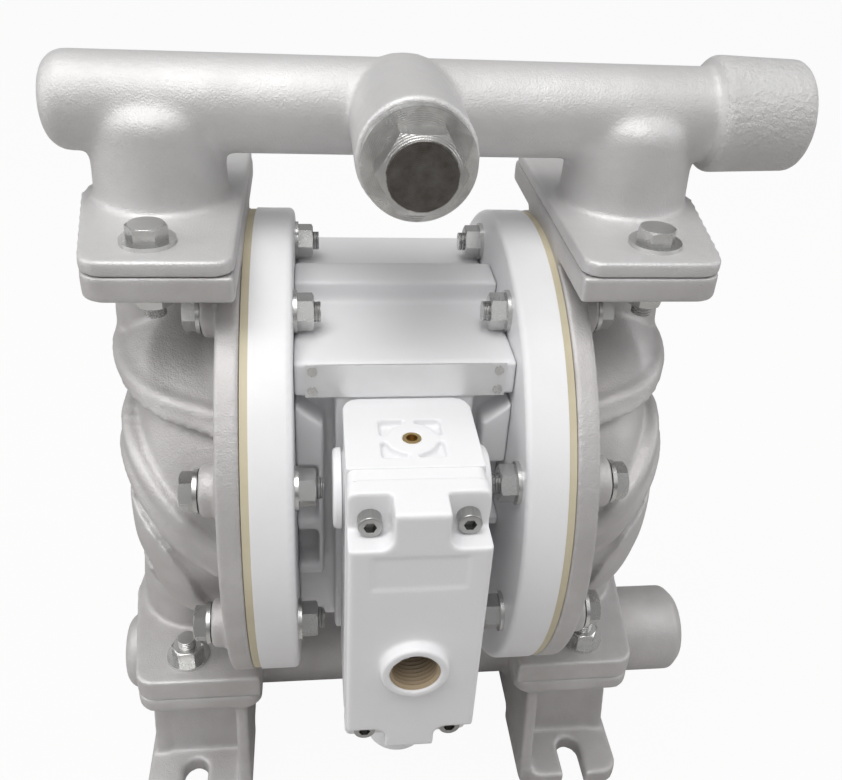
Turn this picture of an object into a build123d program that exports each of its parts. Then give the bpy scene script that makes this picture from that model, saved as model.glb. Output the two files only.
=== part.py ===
from build123d import *
import math
import os

# Air operated double diaphragm pump, metal liquid side, plastic air side.
# Millimetres, +Z up.  The floor is z = 0; the shaft runs along X at height axis_z, and
# x = 0 is the plane midway between the two diaphragms.  -Y is the front, with the air valve.
# Heights called "..._h" are measured from the shaft axis, all others from the floor.

# ---------------------------------------------------------------- driving dimensions
axis_z = 178.0            # shaft axis above the floor

# clamped stack of each side, outwards from the middle: block, air chamber, diaphragm, liquid chamber
block_half = 42.8         # half width of the centre block
air_rim_t = 16.1          # rim of the air chamber
diaphragm_t = 3.0         # diaphragm sheet
liquid_rim_t = 9.2        # rim of the liquid chamber
ring_r = 105.0            # outside radius of the rims
diaphragm_tuck = 0.6      # the diaphragm's edge stays this far inside the rims
bolt_circle_r = 90.4      # rim bolts
rim_bolts = 8
bolt_boss_r = 10.0        # cast pads under the rim bolt heads
bolt_boss_t = 6.9
clamp_r = 76.0            # inner radius of the clamped rim

# M8 fasteners
bolt_r = 4.0
bolt_hole_r = 4.5
bolt_af = 13.0
hex_trim = 0.2            # the turned corner starts this far inside the flats
hex_taper = -60.0
bolt_head_t = 5.3
nut_t = 6.5
washer_r = 8.5
washer_t = 1.6
flange_washer_r = 10.0
stud_out = 4.5            # flange bolt's end past its nut
rim_stud_out = 2.6        # the same at the rims

# liquid chamber casting
# outline of the dome: shoulder where it starts to close, rounded corner and rim of the flat end, as x and radius
dome_shape = ((86.0, 76.0), (100.5, 65.5), (107.0, 44.0))
# the same for the horn, which stands further out
horn_shape = ((90.0, 80.6), (106.5, 73.0), (117.5, 50.0))
dome_draft = 1.0          # both are wider by this at the rim
dome_wall = 5.0
diagonal = 0.7            # share of an offset that falls on each axis at the corner
skirt_rise = 4.0          # skirts stand this far out of the dome
horn_back = ((84.0, 40.84), (24.0, 76.24))   # conical back of the discharge horn, as port radius and height
horn_low_h = 35.0
lip_line = ((55.0, 41.4), (130.0, 60.2))      # underside of the horn seen from the front
inlet_flare = ((31.0, -82.0), (60.0, -27.0))  # outline of the inlet neck's flare
# two slanting skirts that lead from the inlet to the outer side; each crest and lip is a line of (x, height)
skirt_crest = ((55.0, -15.0), (125.0, 55.0))
skirt_lip = ((125.0, 42.5), (55.0, -34.5))
low_skirt_crest = ((66.0, -90.0), (81.0, -39.6), (87.0, -15.0), (93.0, -3.5), (100.7, 4.9), (125.0, 25.0))
low_skirt_lip = ((125.0, 5.0), (103.6, -15.4), (100.4, -32.2), (95.0, -52.0), (86.0, -70.0), (76.0, -92.0))
port_x = 93.5             # vertical port axis
neck_r = 21.7             # discharge neck
cage_r = 28.0             # inlet neck, which holds the ball cage
neck_line = ((24.0, 50.0), (24.0, 70.0), (22.6, 80.0), (21.7, 88.0))   # swelling of the discharge neck
cage_line = ((21.0, -30.0), (25.5, -54.0), (28.0, -80.0))             # outline of the inlet neck
throat_h = 60.0           # both throats start this far from the shaft's level
throat_r = 16.0

# port flanges
flange_inner_x = block_half + air_rim_t + diaphragm_t
top_face_h = 112.5        # joint of chamber and discharge manifold
bottom_face_h = -108.0    # joint of chamber and inlet manifold
chamber_top_flange_t = 9.8
chamber_low_flange_t = 12.0
top_flange_t = 6.1        # discharge manifold's flange
low_flange_t = 8.5        # inlet manifold's flange
flange_half_y = 65.5
low_flange_half_y = 62.0
flange_mid_x = 125.0      # outer edge of the flange at y = 0
flange_side_x = 114.0     # outer edge of the flange at its corners
low_flange_mid_x = 127.0
low_flange_side_x = 119.0
flange_corner_r = 9.0
inner_corner_r = 7.0      # manifold flange's corners towards the middle
chamber_corner_r = 1.5    # the same of the chamber's flange
flange_bolt_x = 92.7
flange_bolt_y = 48.0
low_bolt_x = 96.5
low_bolt_y = 46.0

# check valves
ball_r = 15.875
seat_bore_r = 13.0
seat_r = 21.0
seat_t = 5.5
seal_t = 1.5
seal_bore_r = 17.5
cage_bore_r = 20.0
ball_lift = 8.0
rib_w = 3.0
rib_gap = 0.5             # ball to guide rib
rib_root = 1.0            # ribs and stops run this far into the cage wall
stop_bore_r = 8.0
stop_gap = 0.3
stop_t = 3.0
fit_gap = 0.1             # loose static fit of rings and plugs
ball_gap = 0.01           # ball to its seat's edge

# discharge manifold
tube_h = 154.2
tube_r = 18.2
tube_bore_r = 13.6
tube_left_x = -133.0
tube_round = 9.0
stub_r = 26.3
stub_top_r = 24.6
stub_top_h = 157.0
stub_round = 9.0
collar_x = 122.0
outlet_x = 160.0
collar_r = 22.7
collar_end_r = 21.7
collar_chamfer = 2.0
port_thread_r = 15.15     # G1 thread, minor radius
port_thread_l = 20.0
plug_boss_r = 21.0
plug_boss_y = -62.0

# blanking plug
plug_flange_r = 19.5
plug_flange_t = 4.0
plug_seal_r = 18.0
plug_hex_af = 26.5
plug_hex_trim = 1.75      # its corners are turned off more than a bolt's
plug_hex_t = 11.0
plug_shank_r = 14.9
plug_shank_l = 14.0

# inlet manifold and feet
inlet_h = -140.8
inlet_tube_r = 20.5
inlet_left_x = -136.0
inlet_x = 168.0
inlet_boss_x = 112.0
inlet_boss_r = 23.4
inlet_boss_chamfer = 5.0
leg_in_x = 69.0
leg_out_x = 118.5
leg_wall = 6.0
leg_top_y = 60.0
foot_half_y = 73.0
foot_t = 10.0
foot_in_x = 72.0
foot_out_x = 121.0
foot_corner_r = 9.0
foot_toe = 4.0            # foot plate past the leg walls
web_top_y = 33.0
web_foot_y = 46.0
slot_x = 97.5
slot_r = 6.0
slot_y = 56.5             # centre of the slot's closed end
arch_half = 27.0
arch_h = 8.4              # height of the arch through the feet

# centre block
valve_top_h = 59.3
valve_gap = 0.7           # between the valve body's top and the underside of the deck
deck_t = 15.0
deck_h = valve_top_h + valve_gap + deck_t
deck_half_y = 60.0
bar_h = 84.3
bar_half_y = 10.0
core_half = 31.5
core_half_y = 47.0
core_corner_r = 12.0
core_low_h = -70.0
pad_levels = (32.0, -2.0, -27.0)
pad_t = 5.0
wing_h = 46.0             # height of the solid wing over the highest shelf, at the core
wing_tip_h = 56.0         # the same at the air chamber
side_wall_t = 2.5

# air valve
valve_half = 24.6
valve_low_h = -66.0
valve_t = 44.5
plate_t = 6.1
plate_inset = 0.4         # the plate is this much smaller than the cover all round
plate_corner_r = 3.0
cover_t = 19.4
cover_corner_r = 3.0
cover_round = 1.5
air_boss_round = 1.0
valve_corner_r = 7.0
valve_screw_x = 17.0
valve_screw_high = 48.5
valve_screw_low = -57.5
pocket_floor_t = 7.5      # cover left under the screw heads
pocket_in_x = 9.5
pocket_high = 44.0
pocket_low = -48.0
pocket_corner_r = 5.0
cover_tab_h = -58.5
air_port_h = -12.0
air_boss_r = 12.6
air_boss_t = 4.5
air_thread_r = 9.3        # G1/2 thread, minor radius
label_half = 17.0
label_low_h = 26.0
label_high_h = 41.0
label_sink = 0.4
label_corner_r = 1.0
spool_y = -88.0
spool_r = 11.4
spool_gap = 0.05
spool_l = 104.0
spool_travel = 10.0
spool_grooves = 3
spool_groove_r = 8.0
spool_end_gap = 0.5       # spool to the tail plug at rest, and to the bore's end at full travel
tail_r = 13.5
tail_low_h = -84.0
tail_cap_t = 18.0
tail_round = 3.0
tail_plug_l = 6.0
side_cap_r = 15.0
side_cap_t = 4.2
side_cap_round = 1.8
side_cap_h = 38.0
side_seat_r = 13.5
side_seat_t = 1.2
insert_y = -86.8
insert_r = 3.4
insert_thread_r = 2.1
insert_l = 8.0
dish_r = 9.6              # round island around the insert
dish_half = 11.5
dish_depth = 3.0
dish_rib = 1.9
screw_r = 2.5             # M5 cap screws
screw_hole_r = 2.75
screw_head_r = 4.25
screw_head_t = 5.0
screw_into_block = 12.0
socket_af = 4.0
socket_depth = 2.5
screw_head_round = 0.6

# shaft group
shaft_r = 9.0
shaft_gap = 0.04
shaft_half = 68.0
shaft_chamfer = 1.0
stroke = 10.0             # to each side of the middle
bush_wall = 3.0
bush_in_x = 8.0
piston_r = 36.0
inner_piston_t = 6.5
piston_round = 2.0
outer_piston_t = 8.0
outer_piston_nose = 7.0
outer_piston_taper = 60.0
piston_stop_gap = 1.1     # inner piston to air chamber at the end of the stroke
air_wall = 4.0
air_well_r = 41.0
air_cone_x = 54.0
air_cone_r = 74.0
air_rim_round = 2.5
fold_in_r = 50.0
fold_out_r = 72.0

# pilot valve
pilot_y = -23.0
pilot_r = 4.0
pilot_gap = 0.04
pilot_travel = 3.0
pilot_stand = 0.5
sleeve_wall = 2.5
sleeve_half = 26.0

# exhaust port at the back of the block
exhaust_r = 9.3
exhaust_l = 20.0
exhaust_boss_r = 17.0
exhaust_boss_t = 4.25

# plate on the front of the deck
plate_half = 38.5
plate_high = 14.2
plate_thick = 0.8
pin_r = 1.2
pin_head_r = 1.9
pin_head_t = 0.6
pin_l = 5.0
pin_inset = 2.8

# ---------------------------------------------------------------- worked-out planes and lines
air_face = block_half + air_rim_t                  # air chamber against diaphragm
liquid_face = air_face + diaphragm_t               # diaphragm against liquid chamber
rim_face = liquid_face + liquid_rim_t              # outer face of the liquid rim
head_face = rim_face + bolt_boss_t + washer_t      # under the rim bolt heads
diaphragm_r = ring_r - diaphragm_tuck
well_face = air_face - inner_piston_t - stroke - piston_stop_gap
well_back = well_face - air_wall
seat_rise = math.sqrt(ball_r**2 - seat_bore_r**2)  # ball centre above the seat's edge
top_seat_h = top_face_h - seal_t
low_seat_h = bottom_face_h - seal_t
top_ball_h = top_seat_h + seat_rise
low_ball_h = low_seat_h + seat_rise
stop_rise = ball_lift + stop_gap + math.sqrt(ball_r**2 - stop_bore_r**2)
valve_back_y = -deck_half_y
valve_front_y = valve_back_y - valve_t
plate_front_y = valve_front_y - plate_t
cover_front_y = plate_front_y - cover_t
spool_low_h = tail_low_h + tail_plug_l + spool_end_gap
pocket_y = plate_front_y - pocket_floor_t

shaft_line = Axis((0, 0, axis_z), (1, 0, 0))
port_line = Axis((port_x, 0, 0), (0, 0, 1))
half_step = 180 / rim_bolts

os.makedirs("parts", exist_ok=True)


def level(height):
    """Horizontal plane at a height above the shaft axis."""
    return Plane.XY.offset(axis_z + height)


def facing_front(y):
    """Upright plane that looks to the front (-Y); its origin is on the shaft's level."""
    return Plane((0, y, axis_z), x_dir=(1, 0, 0), z_dir=(0, -1, 0))


def facing_right(x):
    """Upright plane that looks to the right (+X); its local x runs to the back."""
    return Plane((x, 0, axis_z), x_dir=(0, 1, 0), z_dir=(1, 0, 0))


def save(piece, name):
    """Name a finished piece and write its file."""
    piece.part.label = name
    export_step(piece.part, f"parts/{name}.step")


def hexes(plane, spots, across_flats, height, inset=hex_trim):
    """Hexagon blanks on a plane at local spots, with the corners of the far face turned off."""
    trim = across_flats / 2 - inset
    with BuildPart() as blanks:
        with BuildSketch(plane):
            with Locations(*spots):
                RegularPolygon(across_flats / 2, 6, major_radius=False)
        extrude(amount=height)
        with BuildSketch(plane.offset(height)):
            with Locations(*spots):
                Circle(trim)
        extrude(amount=-height, taper=hex_taper, mode=Mode.INTERSECT)
    return blanks.part


def discs(plane, spots, radius, height, bore=0.0):
    """Round blanks on a plane at local spots, bored where a bore radius is given."""
    with BuildPart() as blanks:
        with BuildSketch(plane):
            with Locations(*spots):
                Circle(radius)
            if bore:
                with Locations(*spots):
                    Circle(bore, mode=Mode.SUBTRACT)
        extrude(amount=height)
    return blanks.part


def ring_spots():
    """Rim bolt centres in the local coordinates of facing_right."""
    turns = [math.radians(half_step + 2 * half_step * i) for i in range(rim_bolts)]
    return [(bolt_circle_r * math.sin(a), bolt_circle_r * math.cos(a)) for a in turns]


def both_sides(x, y):
    """The four spots at plus and minus x and y."""
    return [(sx * x, sy * y) for sx in (-1, 1) for sy in (-1, 1)]


def flange_outline(half_y, mid_x, side_x, inner_r):
    """Plan of a right-hand port flange: straight inside, two tapering edges outside."""
    with BuildSketch(Plane.XY) as plan:
        with BuildLine():
            Polyline(
                (flange_inner_x, -half_y), (side_x, -half_y), (mid_x, 0),
                (side_x, half_y), (flange_inner_x, half_y), close=True,
            )
        make_face()
        outer = plan.vertices().filter_by_position(Axis.X, side_x - 1, mid_x + 1)
        fillet(outer, flange_corner_r)
        fillet(plan.vertices().group_by(Axis.X)[0], inner_r)
    return plan.sketch


# ---------------------------------------------------------------- centre block
# The block is closed by a deck on top and carries the air valve on its front.
with BuildPart() as center_block:
    with BuildSketch(level(core_low_h)):
        Rectangle(2 * core_half, 2 * core_half_y)
    extrude(amount=deck_h - core_low_h)
    with BuildSketch(level(deck_h - deck_t)):
        Rectangle(2 * block_half, 2 * deck_half_y)
    extrude(amount=deck_t)
    with BuildSketch(level(deck_h)):
        Rectangle(2 * block_half, 2 * bar_half_y)
    extrude(amount=bar_h - deck_h)
    # end plates against the air chambers
    for side in (-1, 1):
        with BuildSketch(facing_right(side * core_half)):
            RectangleRounded(2 * core_half_y, deck_h - core_low_h, core_corner_r)
        extrude(amount=side * (block_half - core_half))
    # seat of the air valve, front and exhaust side alike
    with BuildSketch(facing_front(-deck_half_y)):
        with Locations((0, (valve_top_h + valve_low_h) / 2)):
            Rectangle(2 * (valve_half + side_wall_t), valve_top_h - valve_low_h)
    extrude(amount=-2 * deck_half_y)
    # shelves and gussets between the valve seat and the air chambers
    for side in (-1, 1):
        for pad_h in pad_levels:
            with BuildSketch(facing_front(-deck_half_y)):
                with Locations((side * (core_half + block_half) / 2, pad_h - pad_t / 2)):
                    Rectangle(block_half - core_half, pad_t)
            extrude(amount=-2 * deck_half_y)
        with BuildSketch(facing_front(-deck_half_y)):
            with Locations((side * (core_half + side_wall_t / 2), (pad_levels[0] + pad_levels[-1]) / 2)):
                Rectangle(side_wall_t, pad_levels[0] - pad_levels[-1])
        extrude(amount=-2 * deck_half_y)
        with BuildSketch(facing_front(-deck_half_y)):
            with BuildLine():
                Polyline(
                    (side * block_half, wing_tip_h), (side * core_half, wing_h),
                    (side * core_half, pad_levels[0] - pad_t), (side * block_half, pad_levels[0] - pad_t),
                    close=True,
                )
            make_face()
        extrude(amount=-2 * deck_half_y)
    # wells for the dished middle of the air chambers
    for side in (-1, 1):
        with BuildSketch(facing_right(side * (well_back - fit_gap))):
            Circle(air_well_r + air_wall + fit_gap)
        extrude(amount=side * block_half, mode=Mode.SUBTRACT)
    # bores for the shaft bushes, the pilot sleeve and the exhaust
    with BuildSketch(facing_right(-well_back)):
        Circle(shaft_r + bush_wall)
        with Locations((pilot_y, 0)):
            Circle(pilot_r + sleeve_wall)
    extrude(amount=2 * well_back, mode=Mode.SUBTRACT)
    with BuildSketch(facing_front(deck_half_y)):
        Circle(exhaust_boss_r)
    extrude(amount=-exhaust_boss_t)
    with BuildSketch(facing_front(deck_half_y + exhaust_boss_t)):
        Circle(exhaust_r)
    extrude(amount=exhaust_l, mode=Mode.SUBTRACT)
    # threaded holes of the valve screws
    with BuildSketch(facing_front(-deck_half_y)):
        for screw_h in (valve_screw_low, valve_screw_high):
            with Locations((-valve_screw_x, screw_h), (valve_screw_x, screw_h)):
                Circle(screw_r)
    extrude(amount=-screw_into_block, mode=Mode.SUBTRACT)
    # pin holes of the plate
    with BuildSketch(facing_front(-deck_half_y)):
        with Locations((0, deck_h - deck_t / 2)):
            with GridLocations(2 * (plate_half - pin_inset), plate_high - 2 * pin_inset, 2, 2):
                Circle(pin_r)
    extrude(amount=-pin_l, mode=Mode.SUBTRACT)
save(center_block, "center_block")

# ---------------------------------------------------------------- plate and its pins
with BuildPart() as name_plate:
    with BuildSketch(facing_front(-deck_half_y)):
        with Locations((0, deck_h - deck_t / 2)):
            Rectangle(2 * plate_half, plate_high)
            with GridLocations(2 * (plate_half - pin_inset), plate_high - 2 * pin_inset, 2, 2):
                Circle(pin_r, mode=Mode.SUBTRACT)
    extrude(amount=plate_thick)
save(name_plate, "name_plate")

with BuildPart() as plate_pins:
    with BuildSketch(facing_front(-deck_half_y + pin_l)):
        with Locations((0, deck_h - deck_t / 2)):
            with GridLocations(2 * (plate_half - pin_inset), plate_high - 2 * pin_inset, 2, 2):
                Circle(pin_r)
    extrude(amount=pin_l + plate_thick)
    with BuildSketch(facing_front(-deck_half_y - plate_thick)):
        with Locations((0, deck_h - deck_t / 2)):
            with GridLocations(2 * (plate_half - pin_inset), plate_high - 2 * pin_inset, 2, 2):
                Circle(pin_head_r)
    extrude(amount=pin_head_t)
save(plate_pins, "plate_pins")

# ---------------------------------------------------------------- air chambers
with BuildPart() as air_chamber_right:
    with BuildSketch(facing_front(0)):
        with BuildLine():
            Polyline(
                (well_back, shaft_r + shaft_gap), (well_back, air_well_r + air_wall),
                (block_half, air_well_r + air_wall), (block_half, ring_r), (air_face, ring_r),
                (air_face, clamp_r), (air_cone_x, air_cone_r), (well_face, air_well_r),
                (well_face, shaft_r + shaft_gap), close=True,
            )
        make_face()
    revolve(axis=shaft_line)
    circles = air_chamber_right.edges().filter_by(GeomType.CIRCLE)
    rim_edges = circles.filter_by(lambda e: math.isclose(e.radius, ring_r))
    fillet(rim_edges.sort_by(Axis.X)[0], air_rim_round)
    with BuildSketch(facing_right(block_half)):
        with Locations(*ring_spots()):
            Circle(bolt_hole_r)
    extrude(amount=air_rim_t, mode=Mode.SUBTRACT)
    with BuildSketch(facing_right(well_back)):
        with Locations((pilot_y, 0)):
            Circle(pilot_r + pilot_gap)
    extrude(amount=air_wall, mode=Mode.SUBTRACT)
save(air_chamber_right, "air_chamber_right")

with BuildPart() as air_chamber_left:
    mirror(air_chamber_right.part, about=Plane.YZ)
save(air_chamber_left, "air_chamber_left")

# ---------------------------------------------------------------- diaphragms
# A clamped rim, a half-round fold towards the liquid and a flat middle between the pistons.
fold_mid_r = (fold_in_r + fold_out_r) / 2
fold_rise = (fold_out_r - fold_in_r) / 2
with BuildPart() as diaphragm_right:
    with BuildSketch(facing_front(0)):
        with BuildLine():
            Line((air_face, shaft_r), (air_face, fold_in_r))
            ThreePointArc((air_face, fold_in_r), (air_face + fold_rise, fold_mid_r), (air_face, fold_out_r))
            Line((air_face, fold_out_r), (air_face, diaphragm_r))
            Line((air_face, diaphragm_r), (liquid_face, diaphragm_r))
            Line((liquid_face, diaphragm_r), (liquid_face, fold_out_r + diaphragm_t))
            ThreePointArc(
                (liquid_face, fold_out_r + diaphragm_t), (liquid_face + fold_rise, fold_mid_r),
                (liquid_face, fold_in_r - diaphragm_t),
            )
            Line((liquid_face, fold_in_r - diaphragm_t), (liquid_face, shaft_r))
            Line((liquid_face, shaft_r), (air_face, shaft_r))
        make_face()
    revolve(axis=shaft_line)
    with BuildSketch(facing_right(air_face)):
        with Locations(*ring_spots()):
            Circle(bolt_hole_r)
    extrude(amount=diaphragm_t, mode=Mode.SUBTRACT)
save(diaphragm_right, "diaphragm_right")

with BuildPart() as diaphragm_left:
    mirror(diaphragm_right.part, about=Plane.YZ)
save(diaphragm_left, "diaphragm_left")

# ---------------------------------------------------------------- liquid chambers
def dome_solid(shape, offset, start_x):
    """Dome turned about the shaft, grown or shrunk by an offset."""
    shoulder, knee, end = shape
    with BuildPart() as dome:
        with BuildSketch(facing_front(0)):
            with BuildLine():
                Line((start_x, 0), (start_x, shoulder[1] + dome_draft + offset))
                Line((start_x, shoulder[1] + dome_draft + offset), (shoulder[0], shoulder[1] + offset))
                ThreePointArc(
                    (shoulder[0], shoulder[1] + offset),
                    (knee[0] + diagonal * offset, knee[1] + diagonal * offset),
                    (end[0] + offset, end[1]),
                )
                Line((end[0] + offset, end[1]), (end[0] + offset, 0))
                Line((end[0] + offset, 0), (start_x, 0))
            make_face()
        revolve(axis=shaft_line)
    return dome.part


def port_solid(profile):
    """Solid turned about the port from points of (port radius, height)."""
    with BuildPart() as solid:
        with BuildSketch(facing_front(0)):
            with BuildLine():
                Polyline(*[(port_x + radius, height) for radius, height in profile], close=True)
            make_face()
        revolve(axis=port_line)
    return solid.part


def band_solid(outline):
    """Slab that runs from front to back, with an outline seen from the front."""
    with BuildPart() as band:
        with BuildSketch(facing_front(-ring_r)):
            with BuildLine():
                Polyline(*outline, close=True)
            make_face()
        extrude(amount=-2 * ring_r)
    return band.part


in_rim_x = rim_face - liquid_rim_t / 2
horn_profile = ((0, horn_low_h), (horn_back[0][0], horn_low_h), *horn_back, (0, horn_back[1][1]))
neck_profile = ((0, neck_line[0][1]), *neck_line, (neck_r, top_face_h), (0, top_face_h))
over_lip = (*lip_line, (lip_line[1][0], top_face_h), (lip_line[0][0], top_face_h))
flare_profile = ((0, inlet_flare[0][1]), *inlet_flare, (0, inlet_flare[1][1]))
cage_profile = ((0, cage_line[0][1]), *cage_line, (cage_r, bottom_face_h), (0, bottom_face_h))

inside = (
    (dome_shape[0][0], dome_shape[0][1] - dome_wall),
    (dome_shape[1][0] - diagonal * dome_wall, dome_shape[1][1] - diagonal * dome_wall),
    (dome_shape[2][0] - dome_wall, dome_shape[2][1]),
)

with BuildPart() as horn:
    add(port_solid(horn_profile))
    add(dome_solid(horn_shape, 0, in_rim_x), mode=Mode.INTERSECT)
    add(port_solid(neck_profile))
    add(band_solid(over_lip), mode=Mode.INTERSECT)

with BuildPart() as liquid_chamber_right:
    add(dome_solid(dome_shape, 0, rim_face - 1))
    add(horn.part)
    # raised flare and skirts
    for raised in (
        port_solid(flare_profile),
        band_solid((*skirt_crest, *skirt_lip)),
        band_solid((*low_skirt_crest, *low_skirt_lip)),
    ):
        with BuildPart(mode=Mode.PRIVATE) as skirt:
            add(raised)
            add(dome_solid(dome_shape, skirt_rise, in_rim_x), mode=Mode.INTERSECT)
        add(skirt.part)
    # rim
    with BuildSketch(facing_right(liquid_face)):
        Circle(ring_r)
    extrude(amount=liquid_rim_t)
    with BuildSketch(facing_right(rim_face)):
        with Locations(*ring_spots()):
            Circle(bolt_boss_r)
    extrude(amount=bolt_boss_t)
    # inlet neck
    add(port_solid(cage_profile))
    # port flanges
    with BuildSketch(level(top_face_h - chamber_top_flange_t)):
        add(flange_outline(flange_half_y, flange_mid_x, flange_side_x, chamber_corner_r))
    extrude(amount=chamber_top_flange_t)
    with BuildSketch(level(bottom_face_h)):
        add(flange_outline(low_flange_half_y, low_flange_mid_x, low_flange_side_x, chamber_corner_r))
    extrude(amount=chamber_low_flange_t)
    # inside of the dome
    with BuildSketch(facing_front(0)):
        with BuildLine():
            Line((liquid_face, 0), (liquid_face, clamp_r))
            Line((liquid_face, clamp_r), (rim_face, inside[0][1] + dome_draft))
            Line((rim_face, inside[0][1] + dome_draft), inside[0])
            ThreePointArc(*inside)
            Line(inside[2], (inside[2][0], 0))
            Line((inside[2][0], 0), (liquid_face, 0))
        make_face()
    revolve(axis=shaft_line, mode=Mode.SUBTRACT)
    # throats between the dome and the two valves, and the pocket of the discharge seat
    with BuildSketch(level(throat_h)):
        with Locations((port_x, 0)):
            Circle(throat_r)
    extrude(amount=top_face_h - throat_h, mode=Mode.SUBTRACT)
    with BuildSketch(level(-throat_h)):
        with Locations((port_x, 0)):
            Circle(throat_r)
    extrude(amount=bottom_face_h + throat_h, mode=Mode.SUBTRACT)
    with BuildSketch(level(top_face_h)):
        with Locations((port_x, 0)):
            Circle(seat_r + fit_gap)
    extrude(amount=-seat_t - seal_t, mode=Mode.SUBTRACT)
    # ball cage of the inlet
    with BuildSketch(level(bottom_face_h)):
        with Locations((port_x, 0)):
            Circle(cage_bore_r)
    extrude(amount=low_ball_h + stop_rise + stop_t - bottom_face_h, mode=Mode.SUBTRACT)
    # holes
    with BuildSketch(facing_right(liquid_face)):
        with Locations(*ring_spots()):
            Circle(bolt_hole_r)
    extrude(amount=liquid_rim_t + bolt_boss_t, mode=Mode.SUBTRACT)
    with BuildSketch(level(top_face_h)):
        with Locations((flange_bolt_x, flange_bolt_y), (flange_bolt_x, -flange_bolt_y)):
            Circle(bolt_hole_r)
    extrude(amount=-chamber_top_flange_t, mode=Mode.SUBTRACT)
    with BuildSketch(level(bottom_face_h)):
        with Locations((low_bolt_x, low_bolt_y), (low_bolt_x, -low_bolt_y)):
            Circle(bolt_hole_r)
    extrude(amount=chamber_low_flange_t, mode=Mode.SUBTRACT)
    # guide ribs around the inlet ball, with stops over it
    with BuildSketch(level(bottom_face_h)):
        with Locations((port_x, 0)):
            with PolarLocations((ball_r + rib_gap + cage_bore_r + rib_root) / 2, 4, start_angle=45):
                Rectangle(cage_bore_r + rib_root - ball_r - rib_gap, rib_w)
    extrude(amount=low_ball_h + stop_rise + stop_t - bottom_face_h)
    with BuildSketch(level(low_ball_h + stop_rise)):
        with Locations((port_x, 0)):
            with PolarLocations((stop_bore_r + cage_bore_r + rib_root) / 2, 4, start_angle=45):
                Rectangle(cage_bore_r + rib_root - stop_bore_r, rib_w)
    extrude(amount=stop_t)
save(liquid_chamber_right, "liquid_chamber_right")

with BuildPart() as liquid_chamber_left:
    mirror(liquid_chamber_right.part, about=Plane.YZ)
save(liquid_chamber_left, "liquid_chamber_left")

# ---------------------------------------------------------------- discharge manifold
top_spots = both_sides(flange_bolt_x, flange_bolt_y)
low_spots = both_sides(low_bolt_x, low_bolt_y)

with BuildPart() as discharge_manifold:
    # tube, with a rounded blind end on the left
    with BuildSketch(facing_right(tube_left_x)):
        with Locations((0, tube_h)):
            Circle(tube_r)
    extrude(amount=outlet_x - port_thread_l - tube_left_x)
    fillet(discharge_manifold.edges().group_by(Axis.X)[0], tube_round)
    # outlet collar, slightly conical
    with BuildSketch(facing_front(0)):
        with BuildLine():
            Polyline(
                (collar_x, tube_h), (collar_x, tube_h + collar_r - collar_chamfer),
                (collar_x + collar_chamfer, tube_h + collar_r),
                (outlet_x - collar_chamfer, tube_h + collar_end_r),
                (outlet_x, tube_h + collar_end_r - collar_chamfer),
                (outlet_x, tube_h), close=True,
            )
        make_face()
    revolve(axis=Axis((0, 0, axis_z + tube_h), (1, 0, 0)))
    # stubs over the two ports, and their flanges
    for side in (-1, 1):
        with BuildPart(level(top_face_h), mode=Mode.PRIVATE) as stub:
            with Locations((side * port_x, 0)):
                Cone(stub_r, stub_top_r, stub_top_h - top_face_h, align=(Align.CENTER, Align.CENTER, Align.MIN))
            fillet(stub.edges().group_by(Axis.Z)[-1], stub_round)
        add(stub.part)
    with BuildSketch(level(top_face_h)):
        add(flange_outline(flange_half_y, flange_mid_x, flange_side_x, inner_corner_r))
        mirror(about=Plane.YZ)
    extrude(amount=top_flange_t)
    # boss of the blanking plug
    with BuildSketch(facing_front(0)):
        with Locations((0, tube_h)):
            Circle(plug_boss_r)
    extrude(amount=-plug_boss_y)
    # bores
    with BuildSketch(facing_right(tube_left_x + tube_round)):
        with Locations((0, tube_h)):
            Circle(tube_bore_r)
    extrude(amount=outlet_x - tube_left_x, mode=Mode.SUBTRACT)
    with BuildSketch(facing_right(outlet_x)):
        with Locations((0, tube_h)):
            Circle(port_thread_r)
    extrude(amount=-port_thread_l, mode=Mode.SUBTRACT)
    with BuildSketch(level(top_face_h)):
        with Locations((-port_x, 0), (port_x, 0)):
            Circle(cage_bore_r)
    extrude(amount=top_ball_h + stop_rise + stop_t - top_face_h, mode=Mode.SUBTRACT)
    with BuildSketch(facing_front(plug_boss_y)):
        with Locations((0, tube_h)):
            Circle(plug_shank_r + fit_gap)
    extrude(amount=plug_boss_y, mode=Mode.SUBTRACT)
    with BuildSketch(level(top_face_h)):
        with Locations(*top_spots):
            Circle(bolt_hole_r)
    extrude(amount=top_flange_t, mode=Mode.SUBTRACT)
    # guide ribs around the discharge balls, with stops over them
    for side in (-1, 1):
        with BuildSketch(level(top_face_h)):
            with Locations((side * port_x, 0)):
                with PolarLocations((ball_r + rib_gap + cage_bore_r + rib_root) / 2, 4, start_angle=45):
                    Rectangle(cage_bore_r + rib_root - ball_r - rib_gap, rib_w)
        extrude(amount=top_ball_h + stop_rise + stop_t - top_face_h)
        with BuildSketch(level(top_ball_h + stop_rise)):
            with Locations((side * port_x, 0)):
                with PolarLocations((stop_bore_r + cage_bore_r + rib_root) / 2, 4, start_angle=45):
                    Rectangle(cage_bore_r + rib_root - stop_bore_r, rib_w)
        extrude(amount=stop_t)
save(discharge_manifold, "discharge_manifold")

# ---------------------------------------------------------------- blanking plug and its seal
with BuildPart() as center_plug:
    add(hexes(facing_front(plug_boss_y - seal_t - plug_flange_t), [(0, tube_h)], plug_hex_af, plug_hex_t, plug_hex_trim))
    add(discs(facing_front(plug_boss_y - seal_t), [(0, tube_h)], plug_flange_r, plug_flange_t))
    add(discs(facing_front(plug_boss_y + plug_shank_l), [(0, tube_h)], plug_shank_r, plug_shank_l + seal_t))
save(center_plug, "center_plug")

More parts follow.
